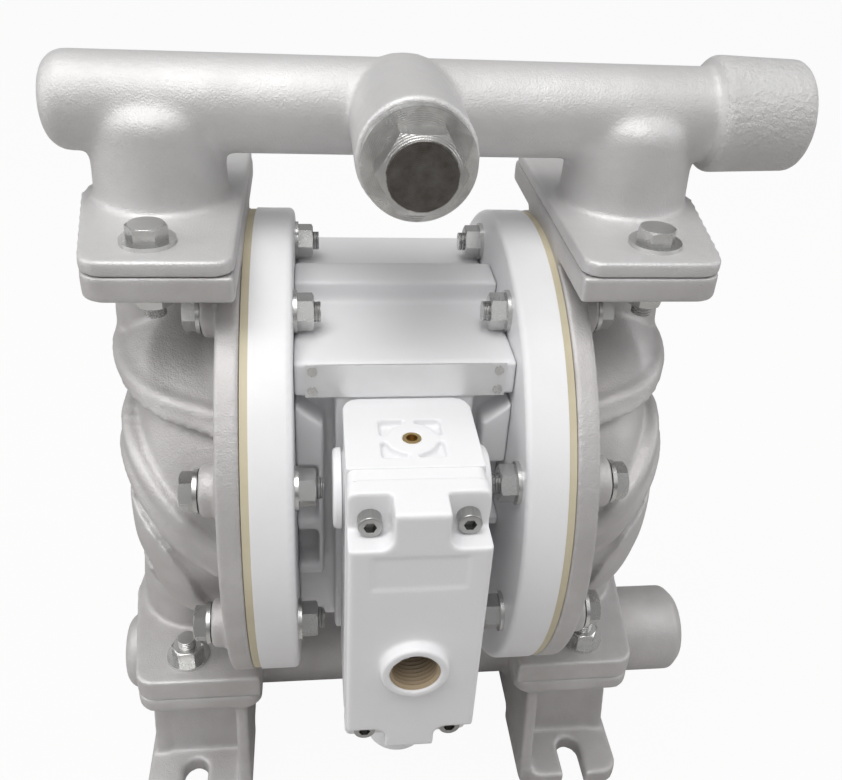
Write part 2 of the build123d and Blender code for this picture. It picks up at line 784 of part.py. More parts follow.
with BuildPart() as plug_seal:
    add(discs(facing_front(plug_boss_y), [(0, tube_h)], plug_seal_r, seal_t, plug_shank_r))
save(plug_seal, "plug_seal")

# ---------------------------------------------------------------- inlet manifold with the feet
with BuildPart() as inlet_manifold:
    with BuildSketch(facing_right(inlet_left_x)):
        with Locations((0, inlet_h)):
            Circle(inlet_tube_r)
    extrude(amount=inlet_x - port_thread_l - inlet_left_x)
    fillet(inlet_manifold.edges().group_by(Axis.X)[0], tube_round)
    with BuildSketch(facing_front(0)):
        with BuildLine():
            Polyline(
                (inlet_boss_x, inlet_h), (inlet_boss_x, inlet_h + inlet_boss_r),
                (inlet_x - inlet_boss_chamfer, inlet_h + inlet_boss_r),
                (inlet_x, inlet_h + inlet_boss_r - inlet_boss_chamfer), (inlet_x, inlet_h), close=True,
            )
        make_face()
    revolve(axis=Axis((0, 0, axis_z + inlet_h), (1, 0, 0)))
    with BuildSketch(level(inlet_h)):
        with Locations((-port_x, 0), (port_x, 0)):
            Circle(stub_r)
    extrude(amount=bottom_face_h - inlet_h)
    with BuildSketch(level(bottom_face_h)):
        add(flange_outline(low_flange_half_y, low_flange_mid_x, low_flange_side_x, inner_corner_r))
        mirror(about=Plane.YZ)
    extrude(amount=-low_flange_t)
    leg_top = axis_z + bottom_face_h - low_flange_t
    for side in (-1, 1):
        # side walls from the flange down to the foot plate; the outer one only closes the webs' ends
        for wall_x, top_y, low_y in (
            (leg_in_x, leg_top_y, foot_half_y - foot_toe), (leg_out_x - leg_wall, web_top_y, web_foot_y),
        ):
            with BuildSketch(Plane((side * wall_x, 0, 0), x_dir=(0, 1, 0), z_dir=(1, 0, 0))):
                with BuildLine():
                    Polyline(
                        (-top_y, leg_top + low_flange_t / 2), (top_y, leg_top + low_flange_t / 2),
                        (top_y, leg_top), (low_y, foot_t), (low_y, 0),
                        (-low_y, 0), (-low_y, foot_t), (-top_y, leg_top), close=True,
                    )
                make_face()
            extrude(amount=side * leg_wall)
        # foot plate, then the webs that close the channel behind the front and rear pockets
        with BuildSketch(Plane.XY):
            with Locations((side * (foot_in_x + foot_out_x) / 2, 0)):
                RectangleRounded(foot_out_x - foot_in_x, 2 * foot_half_y, foot_corner_r)
        extrude(amount=foot_t)
        for end in (-1, 1):
            with BuildSketch(Plane((side * leg_in_x, 0, 0), x_dir=(0, 1, 0), z_dir=(1, 0, 0))):
                with BuildLine():
                    Polyline(
                        (end * web_top_y, leg_top), (end * web_foot_y, foot_t / 2),
                        (end * (web_foot_y - leg_wall), foot_t / 2), (end * (web_top_y - leg_wall), leg_top),
                        close=True,
                    )
                make_face()
            extrude(amount=side * (leg_out_x - leg_in_x))
    # the feet are open underneath between the webs, and arched along the middle
    for side in (-1, 1):
        with BuildSketch(Plane.XY):
            with Locations((side * (leg_in_x + leg_out_x) / 2, 0)):
                Rectangle(leg_out_x - leg_in_x - 2 * leg_wall, 2 * (web_foot_y - leg_wall))
        extrude(amount=foot_t, mode=Mode.SUBTRACT)
    with BuildSketch(facing_right(-foot_out_x)):
        with Locations((0, -axis_z)):
            Rectangle(2 * arch_half, 2 * arch_h)
    extrude(amount=2 * foot_out_x, mode=Mode.SUBTRACT)
    # slots, open to the front and to the back
    with BuildSketch(Plane.XY):
        for side in (-1, 1):
            for end in (-1, 1):
                with Locations((side * slot_x, end * slot_y)):
                    Circle(slot_r)
                with Locations((side * slot_x, end * (slot_y + foot_half_y + foot_toe) / 2)):
                    Rectangle(2 * slot_r, foot_half_y - slot_y + foot_toe)
    extrude(amount=foot_t, mode=Mode.SUBTRACT)
    # bores
    with BuildSketch(facing_right(inlet_left_x + tube_round)):
        with Locations((0, inlet_h)):
            Circle(tube_bore_r)
    extrude(amount=inlet_x - inlet_left_x, mode=Mode.SUBTRACT)
    with BuildSketch(facing_right(inlet_x)):
        with Locations((0, inlet_h)):
            Circle(port_thread_r)
    extrude(amount=-port_thread_l, mode=Mode.SUBTRACT)
    with BuildSketch(level(bottom_face_h)):
        with Locations((-port_x, 0), (port_x, 0)):
            Circle(tube_bore_r)
    extrude(amount=inlet_h - bottom_face_h, mode=Mode.SUBTRACT)
    with BuildSketch(level(bottom_face_h)):
        with Locations((-port_x, 0), (port_x, 0)):
            Circle(seat_r + fit_gap)
    extrude(amount=-seat_t - seal_t, mode=Mode.SUBTRACT)
    with BuildSketch(level(bottom_face_h)):
        with Locations(*low_spots):
            Circle(bolt_hole_r)
    extrude(amount=-low_flange_t, mode=Mode.SUBTRACT)
save(inlet_manifold, "inlet_manifold")

# ---------------------------------------------------------------- check valves: seats, seals, balls
for side, hand in ((-1, "left"), (1, "right")):
    for face_h, seat_h, ball_h, place in (
        (bottom_face_h, low_seat_h, low_ball_h, "inlet"),
        (top_face_h, top_seat_h, top_ball_h, "discharge"),
    ):
        with BuildPart() as seat:
            add(discs(level(seat_h - seat_t), [(side * port_x, 0)], seat_r, seat_t, seat_bore_r))
        save(seat, f"{place}_seat_{hand}")
        with BuildPart() as ball:
            with Locations((side * port_x, 0, axis_z + ball_h)):
                Sphere(ball_r - ball_gap)
        save(ball, f"{place}_ball_{hand}")
    with BuildPart() as seals:
        add(discs(level(low_seat_h), [(side * port_x, 0)], seat_r, seal_t, seal_bore_r))
        add(discs(level(top_seat_h), [(side * port_x, 0)], seat_r, seal_t, seal_bore_r))
    save(seals, f"port_seals_{hand}")

# ---------------------------------------------------------------- shaft, pistons, bushes
with BuildPart() as shaft:
    with BuildSketch(facing_right(-shaft_half)):
        Circle(shaft_r)
    extrude(amount=2 * shaft_half)
    chamfer(shaft.edges().filter_by(GeomType.CIRCLE), shaft_chamfer)
save(shaft, "shaft")

with BuildPart() as inner_piston_right:
    with BuildSketch(facing_right(air_face - inner_piston_t)):
        Circle(piston_r)
        Circle(shaft_r, mode=Mode.SUBTRACT)
    extrude(amount=inner_piston_t)
    fillet(inner_piston_right.edges().group_by(Axis.X)[-1].sort_by(SortBy.RADIUS)[-1], piston_round)
save(inner_piston_right, "inner_piston_right")

with BuildPart() as inner_piston_left:
    mirror(inner_piston_right.part, about=Plane.YZ)
save(inner_piston_left, "inner_piston_left")

with BuildPart() as outer_piston_right:
    with BuildSketch(facing_right(liquid_face)):
        Circle(piston_r)
    extrude(amount=outer_piston_t / 2)
    with BuildSketch(facing_right(liquid_face + outer_piston_t / 2)):
        Circle(piston_r)
    extrude(amount=outer_piston_nose, taper=outer_piston_taper)
    with BuildSketch(facing_right(liquid_face)):
        Circle(shaft_r)
    extrude(amount=shaft_half - liquid_face, mode=Mode.SUBTRACT)
save(outer_piston_right, "outer_piston_right")

with BuildPart() as outer_piston_left:
    mirror(outer_piston_right.part, about=Plane.YZ)
save(outer_piston_left, "outer_piston_left")

for side, hand in ((-1, "left"), (1, "right")):
    with BuildPart() as bush:
        with BuildSketch(facing_right(side * bush_in_x)):
            Circle(shaft_r + bush_wall)
            Circle(shaft_r + shaft_gap, mode=Mode.SUBTRACT)
        extrude(amount=side * (well_back - bush_in_x))
    save(bush, f"shaft_bush_{hand}")

# ---------------------------------------------------------------- pilot valve
with BuildPart() as pilot_sleeve:
    with BuildSketch(facing_right(-sleeve_half)):
        with Locations((pilot_y, 0)):
            Circle(pilot_r + sleeve_wall)
            Circle(pilot_r + pilot_gap, mode=Mode.SUBTRACT)
    extrude(amount=2 * sleeve_half)
save(pilot_sleeve, "pilot_sleeve")

with BuildPart() as pilot_spool:
    with BuildSketch(facing_right(-well_face - pilot_stand)):
        with Locations((pilot_y, 0)):
            Circle(pilot_r)
    extrude(amount=2 * (well_face + pilot_stand))
save(pilot_spool, "pilot_spool")

# ---------------------------------------------------------------- air valve
with BuildPart() as air_valve_body:
    with BuildSketch(facing_front(valve_back_y)):
        with Locations((0, (valve_top_h + valve_low_h) / 2)):
            Rectangle(2 * valve_half, valve_top_h - valve_low_h)
    extrude(amount=valve_t)
    top_back = air_valve_body.edges().filter_by(Axis.Z).group_by(Axis.Y)[-1]
    fillet(top_back, valve_corner_r)
    # tail with the spool bore, below the body
    with BuildSketch(level(tail_low_h)):
        with Locations((0, spool_y)):
            Circle(tail_r)
    extrude(amount=valve_low_h - tail_low_h + valve_corner_r)
    # round ends of the cross bore on both sides
    for side in (-1, 1):
        with BuildSketch(facing_right(side * valve_half)):
            with Locations((spool_y, side_cap_h)):
                Circle(side_seat_r)
        extrude(amount=side * side_seat_t)
    # spool bore, open at the tail
    with BuildSketch(level(tail_low_h)):
        with Locations((0, spool_y)):
            Circle(spool_r + spool_gap)
    extrude(amount=spool_low_h + spool_l + spool_travel + spool_end_gap - tail_low_h, mode=Mode.SUBTRACT)
    # top: four shallow pockets around a round island, and the bore of the insert
    with BuildSketch(level(valve_top_h)):
        with Locations((0, insert_y)):
            Rectangle(2 * dish_half, 2 * dish_half)
            Circle(dish_r, mode=Mode.SUBTRACT)
            Rectangle(2 * dish_half, 2 * dish_rib, mode=Mode.SUBTRACT)
            Rectangle(2 * dish_rib, 2 * dish_half, mode=Mode.SUBTRACT)
    extrude(amount=-dish_depth, mode=Mode.SUBTRACT)
    with BuildSketch(level(valve_top_h)):
        with Locations((0, insert_y)):
            Circle(insert_r)
    extrude(amount=-insert_l, mode=Mode.SUBTRACT)
    with BuildSketch(facing_front(valve_back_y)):
        for screw_h in (valve_screw_low, valve_screw_high):
            with Locations((-valve_screw_x, screw_h), (valve_screw_x, screw_h)):
                Circle(screw_hole_r)
    extrude(amount=valve_t, mode=Mode.SUBTRACT)
save(air_valve_body, "air_valve_body")

with BuildPart() as brass_insert:
    add(discs(level(valve_top_h - insert_l), [(0, insert_y)], insert_r, insert_l, insert_thread_r))
save(brass_insert, "brass_insert")

with BuildPart() as valve_side_caps:
    for side in (-1, 1):
        with BuildSketch(facing_right(side * (valve_half + side_seat_t))):
            with Locations((spool_y, side_cap_h)):
                Circle(side_cap_r)
        extrude(amount=side * (side_cap_t - side_seat_t))
    fillet(valve_side_caps.edges().group_by(Axis.X)[0], side_cap_round)
    fillet(valve_side_caps.edges().group_by(Axis.X)[-1], side_cap_round)
save(valve_side_caps, "valve_side_caps")

with BuildPart() as tail_cap:
    with BuildSketch(level(tail_low_h)):
        with Locations((0, spool_y)):
            Circle(tail_r)
    extrude(amount=-tail_cap_t)
    fillet(tail_cap.edges().group_by(Axis.Z)[0], tail_round)
    with BuildSketch(level(tail_low_h)):
        with Locations((0, spool_y)):
            Circle(spool_r)
    extrude(amount=tail_plug_l)
save(tail_cap, "tail_cap")

with BuildPart() as valve_spool:
    with BuildSketch(level(spool_low_h)):
        with Locations((0, spool_y)):
            Circle(spool_r)
    extrude(amount=spool_l)
    land = spool_l / (2 * spool_grooves + 1)
    for groove in range(spool_grooves):
        with BuildSketch(level(spool_low_h + (2 * groove + 1) * land)):
            with Locations((0, spool_y)):
                Circle(tail_r)
                Circle(spool_groove_r, mode=Mode.SUBTRACT)
        extrude(amount=land, mode=Mode.SUBTRACT)
save(valve_spool, "valve_spool")

with BuildPart() as valve_plate:
    with BuildSketch(facing_front(valve_front_y)):
        with Locations((0, (valve_top_h + valve_low_h) / 2)):
            RectangleRounded(
                2 * (valve_half - plate_inset), valve_top_h - valve_low_h - 2 * plate_inset, plate_corner_r,
            )
        with Locations((0, air_port_h)):
            Circle(air_thread_r, mode=Mode.SUBTRACT)
        for screw_h in (valve_screw_low, valve_screw_high):
            with Locations((-valve_screw_x, screw_h), (valve_screw_x, screw_h)):
                Circle(screw_hole_r, mode=Mode.SUBTRACT)
    extrude(amount=plate_t)
save(valve_plate, "valve_plate")

with BuildPart() as air_valve_cover:
    with BuildSketch(facing_front(plate_front_y)) as cover_plan:
        with Locations((0, (valve_top_h + valve_low_h) / 2)):
            Rectangle(2 * valve_half, valve_top_h - valve_low_h)
        fillet(cover_plan.vertices(), cover_corner_r)
    extrude(amount=cover_t)
    fillet(air_valve_cover.edges().group_by(Axis.Y)[0], cover_round)
    # corner pockets of the screws
    pocket_w = 2 * valve_half
    with BuildSketch(facing_front(pocket_y)):
        for side in (-1, 1):
            for low, high in ((pocket_high, 2 * valve_top_h), (2 * valve_low_h, pocket_low)):
                with Locations((side * (pocket_in_x + pocket_w / 2), (low + high) / 2)):
                    RectangleRounded(pocket_w, high - low, pocket_corner_r)
    extrude(amount=cover_t, mode=Mode.SUBTRACT)
    with BuildSketch(facing_front(pocket_y)):
        with Locations((0, cover_tab_h - pocket_w / 2)):
            Rectangle(3 * pocket_w, pocket_w)
    extrude(amount=cover_t, mode=Mode.SUBTRACT)
    with BuildSketch(facing_front(cover_front_y)):
        with Locations((0, air_port_h)):
            Circle(air_boss_r)
    extrude(amount=air_boss_t)
    fillet(air_valve_cover.edges().group_by(Axis.Y)[0], air_boss_round)
    with BuildSketch(facing_front(cover_front_y - air_boss_t)):
        with Locations((0, air_port_h)):
            Circle(air_thread_r)
    extrude(amount=-air_boss_t - cover_t, mode=Mode.SUBTRACT)
    with BuildSketch(facing_front(cover_front_y)):
        with Locations((0, (label_low_h + label_high_h) / 2)):
            RectangleRounded(2 * label_half, label_high_h - label_low_h, label_corner_r)
    extrude(amount=-label_sink, mode=Mode.SUBTRACT)
    with BuildSketch(facing_front(plate_front_y)):
        for screw_h in (valve_screw_low, valve_screw_high):
            with Locations((-valve_screw_x, screw_h), (valve_screw_x, screw_h)):
                Circle(screw_hole_r)
    extrude(amount=cover_t, mode=Mode.SUBTRACT)
save(air_valve_cover, "air_valve_cover")

screw_spots = [(side * valve_screw_x, h) for side in (-1, 1) for h in (valve_screw_low, valve_screw_high)]
with BuildPart() as valve_screws:
    add(discs(facing_front(pocket_y), screw_spots, screw_head_r, screw_head_t))
    fillet(valve_screws.edges().group_by(Axis.Y)[0], screw_head_round)
    with BuildSketch(facing_front(pocket_y - screw_head_t)):
        with Locations(*screw_spots):
            RegularPolygon(socket_af / 2, 6, major_radius=False)
    extrude(amount=-socket_depth, mode=Mode.SUBTRACT)
    add(discs(facing_front(valve_back_y + screw_into_block), screw_spots, screw_r,
              screw_into_block + valve_back_y - pocket_y))
save(valve_screws, "valve_screws")

# ---------------------------------------------------------------- rim fasteners
bolt_tip = block_half - washer_t - nut_t - rim_stud_out
for side, hand in ((-1, "left"), (1, "right")):
    with BuildPart() as bolts:
        add(hexes(facing_right(head_face), ring_spots(), bolt_af, bolt_head_t))
        add(discs(facing_right(bolt_tip), ring_spots(), bolt_r, head_face - bolt_tip))
    with BuildPart() as nuts:
        with BuildSketch(facing_right(block_half - washer_t)):
            with Locations(*ring_spots()):
                RegularPolygon(bolt_af / 2, 6, major_radius=False)
        extrude(amount=-nut_t)
        with BuildSketch(facing_right(block_half - washer_t - nut_t)):
            with Locations(*ring_spots()):
                Circle(bolt_af / 2 - hex_trim)
        extrude(amount=nut_t, taper=hex_taper, mode=Mode.INTERSECT)
        with BuildSketch(facing_right(block_half)):
            with Locations(*ring_spots()):
                Circle(bolt_r)
        extrude(amount=-2 * nut_t, mode=Mode.SUBTRACT)
    with BuildPart() as washers:
        add(discs(facing_right(block_half - washer_t), ring_spots(), washer_r, washer_t, bolt_r))
        add(discs(facing_right(head_face - washer_t), ring_spots(), washer_r, washer_t, bolt_r))
    for piece, name in ((bolts, "rim_bolts"), (nuts, "rim_nuts"), (washers, "rim_washers")):
        if side > 0:
            save(piece, f"{name}_{hand}")
        else:
            with BuildPart() as mirrored:
                mirror(piece.part, about=Plane.YZ)
            save(mirrored, f"{name}_{hand}")

# ---------------------------------------------------------------- port flange fasteners
# Discharge side: heads on top, nuts below.  Inlet side: heads below, nuts and bolt ends on top.
top_plane_h = top_face_h + top_flange_t
top_nut_h = top_face_h - chamber_top_flange_t
low_plane_h = bottom_face_h - low_flange_t
low_nut_h = bottom_face_h + chamber_low_flange_t


def flipped(plane):
    """The same plane seen from its other side, with its local x kept."""
    return Plane(plane.origin, x_dir=plane.x_dir, z_dir=-plane.z_dir)


for place, head_plane, nut_plane, spots, grip in (
    ("discharge", level(top_plane_h), flipped(level(top_nut_h)), top_spots, top_flange_t + chamber_top_flange_t),
    ("inlet", flipped(level(low_plane_h)), level(low_nut_h), low_spots, low_flange_t + chamber_low_flange_t),
):
    shank_l = grip + 2 * washer_t + nut_t + stud_out
    head_seat = head_plane.offset(washer_t)
    with BuildPart() as bolts:
        add(hexes(head_seat, spots, bolt_af, bolt_head_t))
        add(discs(head_seat.offset(-shank_l), spots, bolt_r, shank_l))
    save(bolts, f"{place}_bolts")
    with BuildPart() as nuts:
        add(hexes(nut_plane.offset(washer_t), spots, bolt_af, nut_t))
        add(discs(nut_plane, spots, bolt_r, 3 * nut_t), mode=Mode.SUBTRACT)
    save(nuts, f"{place}_nuts")
    with BuildPart() as washers:
        add(discs(head_plane, spots, flange_washer_r, washer_t, bolt_r))
        add(discs(nut_plane, spots, flange_washer_r, washer_t, bolt_r))
    save(washers, f"{place}_washers")
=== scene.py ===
"""Looks of an air operated double diaphragm pump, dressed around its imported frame."""

import logging
import math
from dataclasses import dataclass
from enum import Enum

import bpy
from mathutils import Matrix, Vector

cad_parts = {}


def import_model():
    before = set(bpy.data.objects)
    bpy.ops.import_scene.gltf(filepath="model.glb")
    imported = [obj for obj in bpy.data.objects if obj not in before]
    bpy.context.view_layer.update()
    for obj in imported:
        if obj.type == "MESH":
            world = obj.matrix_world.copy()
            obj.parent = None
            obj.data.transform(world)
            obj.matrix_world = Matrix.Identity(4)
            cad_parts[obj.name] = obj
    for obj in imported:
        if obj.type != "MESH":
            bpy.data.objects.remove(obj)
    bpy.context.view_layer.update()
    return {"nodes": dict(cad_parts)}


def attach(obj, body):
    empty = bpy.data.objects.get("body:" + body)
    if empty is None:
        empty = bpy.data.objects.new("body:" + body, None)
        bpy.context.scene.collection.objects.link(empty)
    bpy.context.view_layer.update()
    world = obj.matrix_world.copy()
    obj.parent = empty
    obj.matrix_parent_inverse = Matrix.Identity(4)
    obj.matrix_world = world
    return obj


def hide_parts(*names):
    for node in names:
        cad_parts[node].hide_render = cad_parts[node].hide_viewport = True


LOG = logging.getLogger("pump")
SHAFT_Z = 0.178
TUBE_Z = 0.3322
SUCTION_Z = 0.0372
WELD = 0.00001
SPIN_WELD = 0.000002
SMOOTH_SHARE = 0.5
SHARP_ANGLE = math.radians(30)
BEAD_RESOLUTION = 3
THREAD_STEPS = 72
THREAD_LEAD = 0.3
THREAD_CREST = (0.45, 0.55)
SLEEVE_WALL = 0.0002
WHITE = (1.0, 1.0, 1.0, 1.0)
Point = tuple[float, float, float]
Colour = tuple[float, float, float]
Socket = bpy.types.NodeSocket
Feed = bpy.types.NodeSocket | float | tuple


# ---------------------------------------------------------------- shader building


class Direction(Enum):
    """A direction of the model, as the index of its coordinate."""

    RIGHT = 0
    BACK = 1
    UP = 2


@dataclass
class Tree:
    """A node tree that is filled by naming each node's settings and feeds.

    Args:
        tree: the tree of a material, a world or a node group.
    """

    tree: bpy.types.NodeTree

    def add(self, kind: str, feeds: dict | None = None, **settings: object) -> bpy.types.Node:
        """Add one node.

        Args:
            kind: the node's type name without its ShaderNode prefix.
            feeds: input name or number to a value or to the socket that feeds it.
            settings: attributes of the node.

        Returns:
            The new node.
        """
        prefix = "" if kind.startswith("Node") else "ShaderNode"
        node = self.tree.nodes.new(prefix + kind)
        for name, value in settings.items():
            setattr(node, name, value)
        for key, value in (feeds or {}).items():
            if isinstance(value, Socket):
                self.tree.links.new(value, node.inputs[key])
            else:
                node.inputs[key].default_value = value
        return node

    def math(self, operation: str, first: Feed, second: Feed = 0.0, clamp: bool = False) -> Socket:
        """Add a Math node and return its output."""
        node = self.add("Math", {0: first, 1: second}, operation=operation)
        node.use_clamp = clamp
        return node.outputs[0]

    def noise(
        self, where: Socket, scale: Feed, detail: float = 3.0, roughness: float = 0.5
    ) -> Socket:
        """Add a noise texture on the given coordinates and return its value."""
        feeds = {"Vector": where, "Scale": scale, "Detail": detail, "Roughness": roughness}
        return self.add("TexNoise", feeds).outputs[0]

    def blend(self, share: Feed, first: Feed, second: Feed, mode: str = "MIX") -> Socket:
        """Add a colour Mix node and return its result."""
        node = self.add("Mix", data_type="RGBA", blend_type=mode)
        for key, value in ((0, share), (6, first), (7, second)):
            if isinstance(value, Socket):
                self.tree.links.new(value, node.inputs[key])
            else:
                node.inputs[key].default_value = value
        return node.outputs[2]

    def ramp(self, value: Feed, low: float, high: float) -> Socket:
        """Spread a value from low..high onto 0..1, clamped, and return it."""
        feeds = {"Value": value, "From Min": low, "From Max": high}
        return self.add("MapRange", feeds, clamp=True).outputs[0]


def new_group(
    name: str, inputs: dict[str, float], outputs: dict[str, str]
) -> tuple[bpy.types.NodeTree, Tree]:
    """Start a shader node group with named sockets.

    Args:
        name: the group's name.
        inputs: input name to its default value.
        outputs: output name to its socket type.

    Returns:
        The group and the tree that fills it.
    """
    group = bpy.data.node_groups.new(name, "ShaderNodeTree")
    for label, value in inputs.items():
        socket = group.interface.new_socket(
            name=label, in_out="INPUT", socket_type="NodeSocketFloat")
        socket.default_value = value
    for label, kind in outputs.items():
        group.interface.new_socket(name=label, in_out="OUTPUT", socket_type=kind)
    return group, Tree(group)


class SharedEffects:
    """Node groups that several finishes use, each made once.

    Args:
        groups: the groups made so far, by name.
        edge_gain: how sharply the masks of edges and creases set in.
        bare_patches: noise values between which a rubbed edge fades in.
        clouds: noise values between which a stain fades in.
    """

    groups: dict[str, bpy.types.NodeTree] = {}
    edge_gain: float = 14.0
    bare_patches: tuple[float, float] = (0.3, 0.6)
    clouds: tuple[float, float] = (0.35, 0.7)

    @classmethod
    def grain(cls) -> bpy.types.NodeTree:
        """Two sizes of surface grain as a height, from fine blasting to coarse sand."""
        if "grain" not in cls.groups:
            inputs = {"Fine Scale": 1800.0, "Coarse Scale": 300.0, "Coarse Share": 0.4}
            group, tree = new_group("surface_grain", inputs, {"Height": "NodeSocketFloat"})
            given = tree.add("NodeGroupInput").outputs
            where = tree.add("TexCoord").outputs["Object"]
            fine = tree.noise(where, given["Fine Scale"], 2.0)
            coarse = tree.noise(where, given["Coarse Scale"], 4.0, 0.6)
            both = tree.math("ADD", fine, tree.math("MULTIPLY", coarse, given["Coarse Share"]))
            tree.add("NodeGroupOutput", {"Height": both})
            cls.groups["grain"] = group
        return cls.groups["grain"]

    @classmethod
    def edges(cls) -> bpy.types.NodeTree:
        """Masks of rubbed edges, and of the creases where shade is painted in."""
        if "edges" not in cls.groups:
            inputs = {"Edge Start": 0.52, "Crease Start": 0.48, "Patchiness": 60.0}
            outputs = {"Edge": "NodeSocketFloat", "Crease Shade": "NodeSocketFloat"}
            group, tree = new_group("edges_and_creases", inputs, outputs)
            given = tree.add("NodeGroupInput").outputs
            point = tree.add("NewGeometry").outputs["Pointiness"]
            where = tree.add("TexCoord").outputs["Object"]
            patches = tree.noise(where, given["Patchiness"], 4.0, 0.6)
            edge = tree.math("SUBTRACT", tree.ramp(point, 0.0, 1.0), given["Edge Start"])
            edge = tree.math("MULTIPLY", edge, cls.edge_gain, clamp=True)
            edge = tree.math("MULTIPLY", edge, tree.ramp(patches, *cls.bare_patches), clamp=True)
            # Painted shade: the crease mask grows where the surface folds inward.
            crease_shade = tree.math("SUBTRACT", given["Crease Start"], point)
            crease_shade = tree.math("MULTIPLY", crease_shade, cls.edge_gain, clamp=True)
            tree.add("NodeGroupOutput", {"Edge": edge, "Crease Shade": crease_shade})
            cls.groups["edges"] = group
        return cls.groups["edges"]

    @classmethod
    def stains(cls) -> bpy.types.NodeTree:
        """Broad cloudy variation of a surface, as a mask."""
        if "stains" not in cls.groups:
            group, tree = new_group("broad_stains", {"Scale": 25.0}, {"Mask": "NodeSocketFloat"})
            given = tree.add("NodeGroupInput").outputs
            where = tree.add("TexCoord").outputs["Object"]
            cloud = tree.noise(where, given["Scale"], 5.0, 0.55)
            tree.add("NodeGroupOutput", {"Mask": tree.ramp(cloud, *cls.clouds)})
            cls.groups["stains"] = group
        return cls.groups["stains"]

    @classmethod
    def turns(cls) -> bpy.types.NodeTree:
        """Screw thread turns along one coordinate, as a height between two limits."""
        if "turns" not in cls.groups:
            inputs = {"Along": 0.0, "From": 0.0, "To": 1.0, "Pitch": 0.00125}
            outputs = {"Height": "NodeSocketFloat", "Mask": "NodeSocketFloat"}
            group, tree = new_group("thread_turns", inputs, outputs)
            given = tree.add("NodeGroupInput").outputs
            turn = tree.math("DIVIDE", given["Along"], given["Pitch"])
            wave = tree.math("SINE", tree.math("MULTIPLY", turn, 2 * math.pi))
            above = tree.math("GREATER_THAN", given["Along"], given["From"])
            below = tree.math("LESS_THAN", given["Along"], given["To"])
            mask = tree.math("MULTIPLY", above, below)
            height = tree.math("MULTIPLY", tree.math("ADD", wave, 1.0), mask)
            tree.add("NodeGroupOutput", {"Height": height, "Mask": mask})
            cls.groups["turns"] = group
        return cls.groups["turns"]


def rgba(colour: Colour, share: float = 1.0) -> tuple[float, float, float, float]:
    """A colour scaled by a share, with full alpha."""
    return (colour[0] * share, colour[1] * share, colour[2] * share, 1.0)


def new_material(name: str) -> tuple[bpy.types.Material, Tree]:
    """Start an empty node material and return it with its tree."""
    material = bpy.data.materials.new(name)
    material.use_nodes = True
    material.node_tree.nodes.clear()
    return material, Tree(material.node_tree)


# ---------------------------------------------------------------- finishes


@dataclass(frozen=True)
class Finish:
    """One finish with grain, cloudy variation, rubbed edges and painted shade in the creases.

    Args:
        name: the material's name.
        colour: the clean surface.
        dark: colour of the painted shade in the creases and of the darkest clouds.
        rubbed: colour of the rubbed edges.
        roughness: roughness of the clean surface.
        metallic: 1 for metal, 0 for plastic and rubber.
        fine: grains to the metre of the fine grain.
        coarse: grains to the metre of the coarse grain.
        coarse_share: weight of the coarse grain against the fine.
        depth: depth of the grain in metres.
        cloud: how strongly the broad variation darkens the surface.
        edge: how strongly the edges are rubbed.
        crease_shade: how strongly painted shade darkens the creases.
        stain_dulling: roughness that a full stain adds.
        edge_polish: roughness that a fully rubbed edge loses.
    """

    name: str
    colour: Colour
    dark: Colour
    rubbed: Colour
    roughness: float = 0.5
    metallic: float = 0.0
    fine: float = 1800.0
    coarse: float = 300.0
    coarse_share: float = 0.4
    depth: float = 0.0001
    cloud: float = 0.15
    edge: float = 0.3
    crease_shade: float = 0.4
    stain_dulling: float = 0.1
    edge_polish: float = 0.08

    def build(self) -> bpy.types.Material:
        """Make the material, or return it where it is already made."""
        name = f"{self.name}_finish"
        if name in bpy.data.materials:
            return bpy.data.materials[name]
        material, tree = new_material(name)
        grain = tree.add("Group", node_tree=SharedEffects.grain())
        grain.inputs["Fine Scale"].default_value = self.fine
        grain.inputs["Coarse Scale"].default_value = self.coarse
        grain.inputs["Coarse Share"].default_value = self.coarse_share
        edges = tree.add("Group", node_tree=SharedEffects.edges()).outputs
        stains = tree.add("Group", node_tree=SharedEffects.stains()).outputs["Mask"]
        colour = rgba(self.colour)
        for mask, share, other in (
            (stains, self.cloud, self.dark),
            # Painted shade: the creases are blended towards the dark colour.
            (edges["Crease Shade"], self.crease_shade, self.dark),
            (edges["Edge"], self.edge, self.rubbed),
        ):
            colour = tree.blend(tree.math("MULTIPLY", mask, share), colour, rgba(other))
        colour = self.tint(tree, colour)
        height = self.relief(tree, tree.math("MULTIPLY", grain.outputs["Height"], self.depth))
        rough = tree.math("MULTIPLY", stains, self.stain_dulling)
        rough = tree.math("ADD", rough, self.roughness)
        polish = tree.math("MULTIPLY", edges["Edge"], self.edge_polish)
        rough = tree.math("SUBTRACT", rough, polish, clamp=True)
        bump = tree.add("Bump", {"Strength": 1.0, "Distance": 1.0, "Height": height})
        surface = tree.add("BsdfPrincipled", {
            "Base Color": colour, "Roughness": rough, "Metallic": self.metallic,
            "Normal": bump.outputs[0],
        })
        tree.add("OutputMaterial", {"Surface": surface.outputs[0]})
        return material

    def tint(self, tree: Tree, colour: Socket) -> Socket:
        """A chance to change the colour; here it stays."""
        return colour

    def relief(self, tree: Tree, height: Socket) -> Socket:
        """A chance to add relief to the grain; here there is none."""
        return height


@dataclass(frozen=True)
class SandCasting(Finish):
    """Blasted casting that is coarser beyond one plane, as on a rough outlet collar.

    Args:
        rough_from: the x coordinate from which the skin is as the sand left it.
        sand: grains to the metre of that skin.
        sand_depth: its depth in metres.
    """

    rough_from: float = 9.0
    sand: float = 420.0
    sand_depth: float = 0.0011

    def relief(self, tree: Tree, height: Socket) -> Socket:
        """Add the coarse skin beyond the plane."""
        where = tree.add("TexCoord").outputs["Object"]
        along = tree.add("SeparateXYZ", {0: where}).outputs["X"]
        mask = tree.math("GREATER_THAN", along, self.rough_from)
        coarse = tree.math("MULTIPLY", tree.noise(where, self.sand, 6.0, 0.65), self.sand_depth)
        return tree.math("ADD", height, tree.math("MULTIPLY", coarse, mask))


